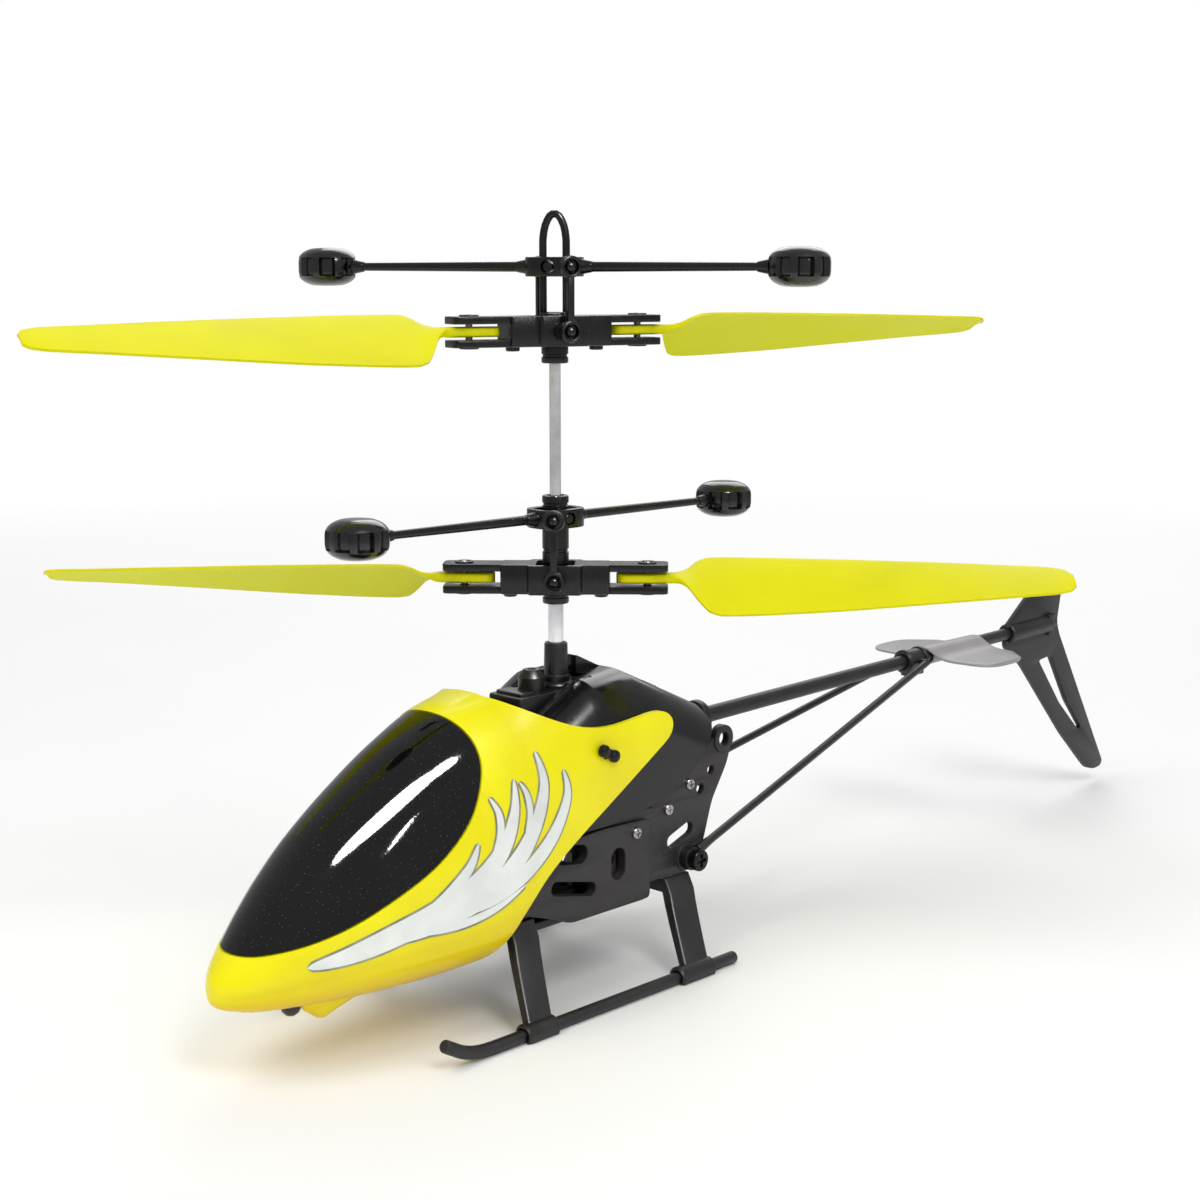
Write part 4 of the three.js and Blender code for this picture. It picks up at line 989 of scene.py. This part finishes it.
def upper_hub(head):
    """The inner shaft's socket, with two legs that rise through the flybar and meet in a pointed loop."""
    low, top = span("upper_hub")[0].z, UPPER_SOCKET_TOP
    leg = [(1.9, top - 1.5), (1.9, 99), (1.9, 104.6), (1.88, 105.3), (1.75, 106.4), (1.5, 107.4)]
    leg += [(1.15, 108.2), (0.75, 108.8), (0.3, 109.1)]
    loop = tube([(-x, 0, z) for x, z in leg] + [(x, 0, z) for x, z in reversed(leg)], 0.6)
    z = head.flybar_z
    cross_bar = rounded_block((-2.3, -0.85, z - 1), (2.3, 0.85, z + 1), 0.3, 0.15)
    block = rounded_block((-2.2, -1.2, top - 2.8), (2.2, 1.2, top + 0.2), 0.6, 0.25)
    outside = grooved(low, top, HUB_R, [low + 1.2])
    socket = lathe([(1.1, low), *outside, (0, top), (0, top - 4), (1.1, top - 4)], 44)
    return fitted_hub(head, socket, turned(merged(loop, cross_bar, block), head.flybar_turn))


def show_head(head, hub):
    """All the pieces of one rotor head."""
    def add(piece, body, turn, z, look, node, rides):
        prefix = f"{head.name}_"
        show(prefix + piece, placed(body, turn, z), look, prefix + node, rides=prefix + rides)

    black = "rotor_head_black"
    flybar = head.flybar_heading
    add("head_hub", hub(head), head.heading, 0, black, "hub", "rotor")
    add("head_holder", blade_holder(head), head.heading, head.holder_z, black, "blade_holder", "holder")
    add("head_flybar", flybar_bar(head), flybar, head.flybar_z, black, "flybar", "flybar_bar")
    for letter, side, turn in (("a", 1, 0), ("b", -1, 180)):
        weight = shifted(flybar_weight(), x=head.flybar_r)
        add(
            f"flybar_weight_{letter}", weight, flybar + turn, head.flybar_z, "flybar_weight_black",
            f"weight_{letter}", "flybar_bar",
        )
        link = ball_link(side, head.holder_z, head.flybar_z)
        add(f"ball_link_{letter}", link, head.heading, 0, black, f"link_{letter}", f"link_{letter}_rod")
        heading, z = head.heading + turn, head.holder_z
        add(
            f"rotor_blade_{letter}", blade(head), heading, z, "blade_yellow", f"blade_{letter}",
            f"blade_{letter}_body",
        )
        pin = rod((head.pin_r, 0, -2.65), (head.pin_r, 0, 2.65), 0.55, sides=24)
        add(f"fork_pin_{letter}", pin, heading, z, "pin_steel", f"blade_pin_{letter}", "holder")


show_head(Head("lower", 1), lower_hub)
show_head(Head("upper", -1), upper_hub)


# ---- Cover and mast ------------------------------------------------------------------------------
RIDGE_X, RIDGE_Z, RIDGE_SLOPE = -8.6, 37.4, 0.45


def ridge_height(x):
    """The cover's ridge: level round the mast, then falling to the tail."""
    return RIDGE_Z + RIDGE_SLOPE * min(x - RIDGE_X, 0)


# Sections of the upper cover: x, half width, top, half width of the flat ridge.
COVER_SECTIONS = [
    (14.5, 10.7, 29.8, 4.0), (8.0, 12.1, 32.6, 4.0), (2.4, 12.3, 36.0, 4.4), (0.5, 12.3, 37.0, 4.6),
    (RIDGE_X, 12.3, RIDGE_Z, 3.4), (-26.0, 12.3, ridge_height(-26), 2.6),
]
COVER_WALL = 0.7
COVER_SHOULDER = 8.5
COVER_FOOT = 8
WELL_FRONT, WELL_BACK, WELL_HALF = 11.8, -2.6, 4.0


def cover_blob(inset, reach):
    """The cover as a closed arch, smaller by inset and run on past each end by reach."""
    rings = []
    for k, (x, half, top, flat) in enumerate(COVER_SECTIONS):
        overrun = reach * ((k == 0) - (k == len(COVER_SECTIONS) - 1))
        wide = half - inset - flat
        arch = [(half - inset, COVER_FOOT - inset)]
        for step in range(19):
            angle = math.radians(5 * step)
            drop = COVER_SHOULDER * (1 - math.sin(angle) ** 1.1)
            arch.append((flat + wide * abs(math.cos(angle)) ** 0.8, top - inset - drop))
        arch[-1] = (flat, top - inset)
        ring = arch + [(-y, z) for y, z in reversed(arch)]
        rings.append([(x + overrun, y, z) for y, z in ring])
    return loft(rings)


def upper_cover():
    """The glossy fairing over the gears, open round the mast, with a fin, a raised pad and two lips."""
    skirt = [(16, 45), (16, 16.5), (8, 14.6)]
    skirt += bezier((8, 14.6), 16, (-5, 14.0), (-15, 16.0), (-21, 21.3))
    skirt += [(-26.2, 26.4), (-28, 45)]
    body = combined(cover_blob(0, 0), "INTERSECT", prism(skirt))
    fin = [(-12.5, ridge_height(-12.5) - 0.2), (-3.0, 39.9), (-3.0, 36.9)]
    fin += [(-12.0, ridge_height(-12.0) - 0.5)]
    pad = [(-16.8, -0.5), (-17.6, 0.5), (-21.6, 0.5), (-22.4, -0.5)]
    pad = [(x, ridge_height(x) + above) for x, above in pad]
    parts = [prism(filleted(outline, 0.4), -half, half) for outline, half in ((fin, 1.5), (pad, 2.2))]
    lip = [(13.2, 5.0, 30.4), (8.2, 5.1, 32.6), (2.5, 5.4, 35.9), (-2.5, 5.3, 36.9)]
    parts += [tube([(x, side * y, z) for x, y, z in lip], 0.5, 12) for side in (1, -1)]
    body = joined(body, *parts)
    well = brick((WELL_BACK, -WELL_HALF, 30), (WELL_FRONT, WELL_HALF, 45))
    return cut(body, cover_blob(COVER_WALL, 2), well)


KNOB_X = 5.4


def mast_bearing():
    """The block in the cover's well, with the post round the shafts and a round knob ahead of it."""
    gap = 0.3
    block = rounded_block(
        (WELL_BACK + gap, gap - WELL_HALF, 31), (WELL_FRONT - gap, WELL_HALF - gap, 35.2), 0.8, 0.3,
    )
    cross = rounded_block((-3.5, -9.6, 29.7), (3.5, 9.6, 31.4), 0.3, 0.2)
    post = [(0, 33), (2.9, 33), (2.9, 35.6), (2.7, 35.9), (2.35, 36.1), (2.3, 36.9), (1.98, 37.2)]
    post += [(1.95, 38), (1.85, 41.9), (1.75, 42.2), (0, 42.2)]
    knob = [(0, 34), (2.2, 34), (2.2, 37.4), (2.0, 37.7), (1.5, 38.45), (1.3, 38.6), (0.7, 38.6)]
    knob += [(0.6, 38.3), (0, 38.3)]
    rib = rounded_block((7.4, -2.9, 35), (10.6, 2.9, 35.7), 0.5, 0.2)
    bore = rod((0, 0, 29), (0, 0, 43), 1.42, edge=0.02)
    return cut(joined(block, cross, lathe(post, 40), shifted(lathe(knob, 36), x=KNOB_X), rib), bore)


show("gear_cover", upper_cover(), "cover_black", "upper_cover", sharp=24)
show("mast_block", mast_bearing(), "mast_black", "mast_bearing")


# ---- Shafts --------------------------------------------------------------------------------------
INNER_SHAFT_R = 0.9
OUTER_SHAFT_R, OUTER_SHAFT_BORE = 1.22, 1.05


def inner_shaft():
    low, high = span("inner_shaft")
    return rod((0, 0, low.z), (0, 0, high.z), INNER_SHAFT_R, edge=0.2, sides=40)


def outer_shaft():
    low, high = span("outer_shaft")
    radius, bore = OUTER_SHAFT_R, OUTER_SHAFT_BORE
    end = [(bore, 0.1), (bore + 0.08, 0), (radius - 0.05, 0), (radius, 0.1)]
    profile = [(r, low.z + rise) for r, rise in end] + [(r, high.z - rise) for r, rise in reversed(end)]
    return lathe(profile, 40, hollow=True)


show("mast_inner", inner_shaft(), "shaft_steel", "inner_shaft", rides="upper_rotor")
show("mast_outer", outer_shaft(), "shaft_steel", "outer_shaft", rides="lower_rotor")


# ---- Landing gear --------------------------------------------------------------------------------
SKID_Y = centre("skid_left").y
SKID_R = 1.0
SKID_Z = span("skid_left")[0].z + SKID_R
FLOOR_Z = CAD_BOUNDS[0].z / MM
LEG_IN, LEG_OUT = 10.6, 12.6        # a leg's inner and outer face at its top


def leg_arch(top, bottom, bar, sleeve):
    """One moulded arch: a cross bar under the frame, two splayed legs and a foot sleeve on each.

    top and bottom are the leg's ends fore and aft, bar the cross bar's heights, sleeve its foot's ends."""
    def across(x0, x1, y0, y1, z):
        corners = filleted([(x0, y0), (x1, y0), (x1, y1), (x0, y1)], 0.45, 4)
        return [(x, y, z) for x, y in corners]

    def between(start, end, share):
        return start + (end - start) * share

    rings = [across(*top, 9.6, 11.4, bar[1]), across(*top, LEG_IN, LEG_OUT, bar[0])]
    for share in (0.18, 0.4, 0.6, 0.8, 1.0):
        rings.append(across(
            between(top[0], bottom[0], share ** 0.9), between(top[1], bottom[1], share ** 0.9),
            between(LEG_IN, SKID_Y - 0.8, share), between(LEG_OUT, SKID_Y + 0.8, share),
            between(bar[0], SKID_Z + 0.8, share),
        ))
    leg = loft(rings)
    back, front = sleeve
    rim, outside = SKID_R + 0.5, SKID_R + 0.75
    half_wrap = [(0, 0), (rim, 0), (outside, 0.3)]
    wrap = half_wrap + [(r, front - back - rise) for r, rise in reversed(half_wrap)]
    wrap = shifted(moved(lathe(wrap, 36), Matrix.Rotation(math.radians(90), 4, "Y")), back, SKID_Y, SKID_Z)
    cross = rounded_block((top[0], -11.2, bar[0]), (top[1], 11.2, bar[1]), 0.4, 0.2)
    body = joined(cross, leg, wrap, mirrored(leg), mirrored(wrap))
    for y in (SKID_Y, -SKID_Y):
        bore = rod((back - 1, y, SKID_Z), (front + 1, y, SKID_Z), SKID_R + 0.25, edge=0.02, sides=40)
        ground = brick((back - 1, y - 3, FLOOR_Z - 2), (front + 1, y + 3, FLOOR_Z + 0.1))
        body = cut(body, bore, ground)
    return body


GEAR_LOOK = "landing_gear_black"
FRONT_LEGS = leg_arch((16.2, 21.5), (20.3, 25.2), (0.3, 2.9), (19.6, 26.0))
REAR_LEGS = leg_arch((-19.6, -13.6), (-15.4, -9.8), (0, 2.3), (-16.2, -8.2))
show("front_legs", FRONT_LEGS, GEAR_LOOK, "front_leg_arch")
show("rear_legs", REAR_LEGS, GEAR_LOOK, "rear_leg_arch")

skid_path = [(-22.5, SKID_Z), (-10, SKID_Z), (10, SKID_Z), (31.5, SKID_Z)]
skid_path += bezier((31.5, SKID_Z), 10, (35.0, SKID_Z), (36.8, SKID_Z + 0.5), (38.6, SKID_Z + 1.35))
skid_path += [(41.6, SKID_Z + 3.05)]
show_both("skid_bar", tube([(x, SKID_Y, z) for x, z in skid_path], SKID_R), GEAR_LOOK, "skid")


# ---- Tail ----------------------------------------------------------------------------------------
BOOM_START, BOOM_END = Vector((-26.5, 0, 24.2)), Vector((-150, 0, 26.4))
BOOM_START_R, BOOM_END_R = 1.45, 1.2
CLAMP_X = -98
STRUT_R = 0.7


def on_boom(x):
    """The point of the boom's axis at x."""
    return BOOM_START.lerp(BOOM_END, (x - BOOM_START.x) / (BOOM_END.x - BOOM_START.x))


def boom_radius(x):
    share = (x - BOOM_START.x) / (BOOM_END.x - BOOM_START.x)
    return BOOM_START_R + (BOOM_END_R - BOOM_START_R) * share


def boom_sleeve(x0, x1, wall, edge=0.25):
    """A round bar along the boom from x0 to x1, thicker than the boom by a wall."""
    return rod(on_boom(x0), on_boom(x1), boom_radius(x0) + wall, boom_radius(x1) + wall, edge, 40)


def boom_bore(x0, x1):
    return boom_sleeve(x0 + 1, x1 - 1, 0.2, 0.02)


def boom_socket():
    """The boom's root: a flange across the frame, a sleeve with a collar, and a web under it."""
    flange = rounded_block((-25.6, -9.5, 15.6), (-24.4, 9.5, 25.2), 0.3, 0.2)
    web = [(-34, 22.4), (-34, 24.2), (-25, 24.2), (-25, 19.0)]
    collar = boom_sleeve(-33.4, -35, 1.6)
    body = joined(flange, boom_sleeve(-24.8, -35, 1.3), collar, plate([web], -0.6, 0.6, 0.1, SIDE_VIEW))
    return cut(body, rod(on_boom(-25.8), on_boom(-36), BOOM_START_R + 0.2, edge=0.02))


def strut_clamp():
    """The sleeve that holds the struts' rear ends, on a cross pin."""
    z = on_boom(CLAMP_X).z
    keeper = rounded_block((CLAMP_X - 3, -1.1, z - 3.0), (CLAMP_X + 2, 1.1, z - 1.6), 0.4, 0.2)
    ribs = [boom_sleeve(CLAMP_X + x + 0.4, CLAMP_X + x - 0.4, 1.0, 0.15) for x in (-2.4, 2.4)]
    pin_x, pin_z = CLAMP_X - 0.4, z - 0.15
    pin = rod((pin_x, -3.5, pin_z), (pin_x, 3.5, pin_z), 0.6, edge=0.15, sides=24)
    body = joined(boom_sleeve(CLAMP_X + 3, CLAMP_X - 3, 0.75), keeper, pin, *ribs)
    return cut(body, boom_bore(CLAMP_X + 3, CLAMP_X - 3))


def tail_strut():
    """A thin strut from an eye under the frame's screw to a round end beside the clamp."""
    x, z = SCREW_AT
    foot = Vector((x - 1.2, 12.5, z + 1.1))
    top = Vector((CLAMP_X - 1, 3.1, on_boom(CLAMP_X).z - 0.2))
    eye = plate([circle(x, z, 1.95, 36), circle(x, z, 0.85)], 11.4, 13.0, 0.2, SIDE_VIEW)
    neck = rod(foot, foot.lerp(top, 0.05), 0.95, STRUT_R, 0.1, 20)
    bar = joined(rod(foot, top, STRUT_R, edge=0.3, sides=20), neck)
    return joined(eye, cut(bar, rod((x, 11, z), (x, 14, z), 0.86)))


def strut_screw():
    """The screw through a strut's eye into the side frame."""
    x, z = SCREW_AT
    return joined(screw_head(x, z, 13.45, 14.6, 1.8), rod((x, 8.8, z), (x, 13.7, z), 0.55))


# Stations of the tailplane: distance from the centre plane, front edge, rear edge.
TAILPLANE_STATIONS = [
    (0, -102.0, -121.0), (8.5, -102.9, -120.4), (11.0, -103.2, -118.5), (12.2, -103.6, -117.4),
    (13.3, -104.5, -116.3), (14.0, -105.7, -115.0), (14.3, -107.4, -113.4),
]
TAILPLANE_HALF = 0.42
TAILPLANE_DROOP = 0.65      # how far its ends are below the boom's axis
TAILPLANE_ARCH = 2.1        # how far its middle is above its ends


def tail_plane():
    """One thin sheet that arches over the boom and droops a little either side, on a sleeve."""
    half_span = TAILPLANE_STATIONS[-1][0]
    across = [half_span * math.sin(math.radians(90 * k / 24)) for k in range(25)]
    rows = smooth_table(TAILPLANE_STATIONS, across)
    level = on_boom(-112).z
    rings = []
    for side, y, front, back in [(-1, *row) for row in rows[:0:-1]] + [(1, *row) for row in rows]:
        middle = level - TAILPLANE_DROOP + TAILPLANE_ARCH * math.exp(-(y / 3.0) ** 2)
        x0, reach = (front + back) / 2, (front - back) / 2
        ring = []
        for c, s in around(44):
            half = TAILPLANE_HALF * (1 - abs(c) ** 24 * 0.4)
            x = x0 + reach * signed_power(c, 0.35)
            ring.append((x, side * y, middle + half * signed_power(s, 0.5)))
        rings.append(ring)
    body = joined(loft(rings), boom_sleeve(-103.4, -119.6, 0.5))
    return cut(body, boom_bore(-102, -121))


FIN_OUTLINE = [
    (-131.3, 27.6), (-139.8, 33.6), (-144.6, 36.2), (-152.8, 35.6), (-150.9, 26.6), (-151.9, 23.9),
    (-172.4, -7.9), (-171.6, -9.0), (-169.0, -9.3), (-165.9, -8.5), (-162.7, -5.8), (-154.7, 1.2),
    (-137.6, 18.7), (-131.0, 23.4),
]
FIN_SLOT = [(-144.2, 18.8), (-148.8, 19.3), (-156.0, 8.4), (-162.4, 1.4), (-161.2, 1.2), (-153.0, 8.4)]


def tail_fin():
    """The upright fin on its sleeve, with a long slot and a stop plate behind the sleeve."""
    sheet = plate([filleted(FIN_OUTLINE, 1.2), filleted(FIN_SLOT, 0.8)], -0.6, 0.6, 0.22, SIDE_VIEW)
    stop = filleted([(-146.2, 24.0), (-148.6, 24.0), (-148.6, 28.6), (-146.2, 28.6)], 0.5)
    stop = plate([stop], -1.5, 1.5, 0.2, SIDE_VIEW)
    return cut(joined(sheet, boom_sleeve(-132, -147.4, 0.8), stop), boom_bore(-132, -148.5))


show("boom_rod", boom_sleeve(BOOM_START.x, BOOM_END.x, 0), "tail_black", "tail_boom")
show("boom_root", boom_socket(), "tail_black", "boom_socket")
show("boom_clamp", strut_clamp(), "tail_black", "strut_clamp")
# The tailplane's grey finish is painted sheen.
show("tail_stabiliser", tail_plane(), "tail_sheen", "tailplane")
show("tail_rudder_fin", tail_fin(), "tail_black", "tail_fin")
show_both("strut", tail_strut(), "tail_black", "tail_strut")
show_both("strut_bolt", strut_screw(), "screw_black", "strut_screw")


def ear_stud():
    """A twin-headed stud on the canopy's ear: two round heads on one bar."""
    x, z = EAR_STUD.x, EAR_STUD.z
    parts = [rod((x, 12.8, z), (x, 14.8, z), 0.7)]
    bar = slot_outline((x - 1.1, z - 0.6), (x + 1.1, z + 0.6), 0.75)
    parts.append(plate([bar], 14.5, 15.05, 0.15, SIDE_VIEW))
    dome = [(0, -15.5), (0.25, -15.5), (0.6, -15.42), (0.92, -15.2), (1.02, -14.9)]
    head = moved(lathe(dome + [(1.0, -14.5), (0, -14.5)], 28), Z_TO_Y)
    parts += [shifted(head, x + 1.15 * end, 0, z + 0.6 * end) for end in (1, -1)]
    return joined(*parts)


show_both("ear_stud", ear_stud(), "screw_black", "canopy_stud")


# ---- Small screws on the side frames -------------------------------------------------------------
for number, (x, z) in enumerate(FRAME_SCREWS):
    on_panel = x > PANEL_OUTLINE[3][0] and z < PANEL_OUTLINE[3][1]
    base = PANEL_OUT if on_panel else FRAME_OUT
    small = screw_head(x, z, base - 0.3, base + 0.45, FRAME_SCREW_R)
    show_both(f"frame_screw_{number}", small, "bright_screw")


# ---- Flame stickers ------------------------------------------------------------------------------
# Each tongue is a leaf along a curve in the side view: its greatest half width, then the curve.
TONGUES = [
    (
        1.75, (57.5, 4.9), (51.5, 5.6), (45, 7.0), (37, 9.2), (30, 12.2), (25.2, 16.4), (22.6, 21.4),
        (21.8, 26.2),
    ),
    (1.5, (46.5, 6.2), (38, 7.3), (30, 9.6), (23.6, 13.4), (19.0, 18.6), (16.6, 24.4), (17.2, 29.6)),
    (1.25, (34.5, 8.0), (27, 9.4), (20.6, 12.4), (15.4, 16.6), (12.2, 22.0), (12.6, 26.2)),
    (0.85, (41.5, 8.2), (35.6, 11.2), (31.4, 14.6), (29.4, 18.0)),
    (0.6, (27.4, 15.0), (25.6, 18.4), (25.4, 21.6), (26.6, 24.2)),
    (0.5, (21.0, 17.4), (19.8, 20.6), (20.0, 23.6), (21.0, 25.6)),
    (0.6, (40, 6.4), (33, 6.6), (26.5, 7.9), (21.2, 10.2)),
]
STICKER_PROUD = 0.05
FLAME_RIM = 0.34            # how far the dark edge shows round the silver


def tongue(points, half_width, margin):
    """A leaf outline that comes to a point at both ends, wider all round by margin."""
    spine = curve_through(points, 6)
    left, right = [], []
    for k, ((x, z), along) in enumerate(zip(spine, headings(spine))):
        share = k / (len(spine) - 1)
        wide = half_width * math.sin(math.pi * share ** 0.8) ** 0.8 + margin if 0 < share < 1 else 0.03
        left.append((x - along.y * wide, z + along.x * wide))
        right.append((x + along.y * wide, z - along.x * wide))
    return left + right[::-1]


def sticker(margin, proud):
    """The flame as a thin film on the canopy's left flank, wider by margin and this far proud of it."""
    film = combined(canopy_body(-proud), "DIFFERENCE", canopy_body(0.02))
    shapes = [prism(tongue(points, width, margin), 4.0, 20.0) for width, *points in TONGUES]
    film = combined(film, "INTERSECT", joined(*shapes))
    return cut(film, prism(window_outline(-0.5)))


show_both("flame_edge", sticker(FLAME_RIM, STICKER_PROUD), "flame_edge")
show_both("flame_face", sticker(0.0, 2 * STICKER_PROUD), "flame_face")


# ---- Carried-over CAD nodes ----------------------------------------------------------------------
def smoothing(angle):
    """A modifier group that shades a mesh smooth except at edges sharper than the angle."""
    group = bpy.data.node_groups.new("smooth_except_edges", "GeometryNodeTree")
    group.interface.new_socket("Geometry", in_out="INPUT", socket_type="NodeSocketGeometry")
    group.interface.new_socket("Geometry", in_out="OUTPUT", socket_type="NodeSocketGeometry")
    source = group.nodes.new("NodeGroupInput")
    result = group.nodes.new("NodeGroupOutput")
    edges = group.nodes.new("GeometryNodeInputMeshEdgeAngle")
    below = group.nodes.new("FunctionNodeCompare")
    below.operation = "LESS_THAN"
    below.inputs["B"].default_value = math.radians(angle)
    on_faces = group.nodes.new("GeometryNodeSetShadeSmooth")
    on_edges = group.nodes.new("GeometryNodeSetShadeSmooth")
    on_edges.domain = "EDGE"
    group.links.new(edges.outputs["Unsigned Angle"], below.inputs["A"])
    group.links.new(source.outputs[0], on_faces.inputs["Geometry"])
    group.links.new(on_faces.outputs[0], on_edges.inputs["Geometry"])
    group.links.new(below.outputs[0], on_edges.inputs["Shade Smooth"])
    group.links.new(on_edges.outputs[0], result.inputs[0])
    return group


SMOOTHING = smoothing(34)
CAD_BEVEL = 0.12


def dress(piece, look):
    """Gives a carried-over CAD node softened edges and its finish."""
    weld = piece.modifiers.new("weld", "WELD")
    weld.merge_threshold = 0.001 * MM
    flats = piece.modifiers.new("flats", "DECIMATE")
    flats.decimate_type = "DISSOLVE"
    flats.angle_limit = math.radians(1)
    bevel = piece.modifiers.new("bevel", "BEVEL")
    bevel.width = CAD_BEVEL * MM
    bevel.segments = 2
    bevel.limit_method = "ANGLE"
    bevel.angle_limit = math.radians(38)
    shade = piece.modifiers.new("shade", "NODES")
    shade.node_group = SMOOTHING
    piece.data.materials.clear()
    piece.data.materials.append(LOOKS[look])


SLOTS = {part["node"]: part["material_slot"] for part in frame["record"]["subparts"]}
for node, piece in frame["nodes"].items():
    if not piece.hide_render:
        dress(piece, SLOTS[node])


# ---- Stage ---------------------------------------------------------------------------------------
FLOOR_R = 1.6
FADE_START, FADE_END = 0.2, 0.7     # metres from the mast


def stage_floor():
    """A pale floor that fades into the white surround far from the object."""
    place = (0, 0, CAD_BOUNDS[0].z)
    bpy.ops.mesh.primitive_circle_add(vertices=96, radius=FLOOR_R, fill_type="NGON", location=place)
    floor = bpy.context.object
    floor.name = "studio_floor"
    finish = Finish("studio_floor", (251, 251, 251), (252, 252, 252), (0.7, 0.8), cloud=90, relief=0.0)
    distance = finish.nodes.new("ShaderNodeVectorMath")
    distance.operation = "LENGTH"
    finish.links.new(finish.place, distance.inputs[0])
    fade = finish.spread(distance.outputs["Value"], FADE_START, FADE_END, 1.0, 0.0)
    finish.links.new(fade, finish.shader.inputs["Alpha"])
    floor.data.materials.append(finish.material)


def area_light(name, place, target, size, power, along=(0, 0, 1), lights="both"):
    """A light aimed at a target, its first side lying along a direction. A softbox for matt shading,
    for both shading and reflections, or an oval one seen only in gloss."""
    light = bpy.data.lights.new(name, "AREA")
    light.shape = "ELLIPSE" if lights == "gloss" else "RECTANGLE"
    light.size, light.size_y = size
    light.energy = power
    holder = in_scene(name, light)
    behind, along = (Vector(place) - Vector(target)).normalized(), Vector(along)
    side = (along - behind * behind.dot(along)).normalized()
    turn = Matrix((side, behind.cross(side), behind)).transposed().to_4x4()
    holder.matrix_world = Matrix.Translation(place) @ turn
    holder.visible_diffuse = lights != "gloss"
    holder.visible_glossy = lights != "matt"


def surround(light, backdrop):
    """A grey room for the light and reflections, white where the camera looks past the object."""
    world = bpy.data.worlds.new("studio")
    world.use_nodes = True
    nodes, links = world.node_tree.nodes, world.node_tree.links
    background = nodes["Background"]
    path = nodes.new("ShaderNodeLightPath")
    mix = nodes.new("ShaderNodeMix")
    mix.data_type = "RGBA"
    mix.inputs[6].default_value = (light, light, light, 1)
    mix.inputs[7].default_value = (backdrop, backdrop, backdrop, 1)
    links.new(path.outputs["Is Camera Ray"], mix.inputs["Factor"])
    links.new(mix.outputs[2], background.inputs["Color"])
    bpy.context.scene.world = world


CAMERA_PLACE = Vector((0.22107, 0.22169, 0.1006))
CAMERA_HEADING = Vector((-0.7218, -0.6921, 0))
CAMERA_PITCH = math.radians(9.37)
CAMERA_LENS = 60


def photograph_camera():
    camera = in_scene("camera", bpy.data.cameras.new("camera"))
    camera.data.lens = CAMERA_LENS
    camera.data.sensor_width = 36
    camera.data.clip_start = 0.01
    camera.location = CAMERA_PLACE
    forward = CAMERA_HEADING.normalized() * math.cos(CAMERA_PITCH)
    forward.z = -math.sin(CAMERA_PITCH)
    camera.rotation_mode = "QUATERNION"
    camera.rotation_quaternion = forward.to_track_quat("-Z", "Y")
    bpy.context.scene.camera = camera


stage_floor()
HEART = (0.02, 0.0, 0.03)               # the middle of the object
BRIGHT_SPOT = (0.04, 0.007, 0.024)      # where the windshield shows the strip and the glint
FRONT_PLACE = (0.134, 0.426, 0.565)
area_light("key", (0.45, -0.05, 0.62), HEART, (0.5, 0.4), 2.2, lights="matt")
area_light("front", FRONT_PLACE, HEART, (0.3, 0.2), 1.2, lights="matt")
area_light("strip", FRONT_PLACE, BRIGHT_SPOT, (0.31, 0.17), 8.0, (-0.95, 0.31, -0.04), lights="gloss")
area_light(
    "glint", (0.018, 0.626, 0.35), BRIGHT_SPOT, (0.1, 0.024), 0.35, (-0.24, -0.43, 0.87), lights="gloss",
)
area_light("fill", (-0.05, 0.75, 0.35), HEART, (0.6, 0.6), 0.7, lights="matt")
area_light("rim", (-0.5, -0.35, 0.5), HEART, (0.5, 0.5), 1.6)
surround(0.45, 1.0)
photograph_camera()
bpy.context.scene.view_settings.view_transform = "Standard"
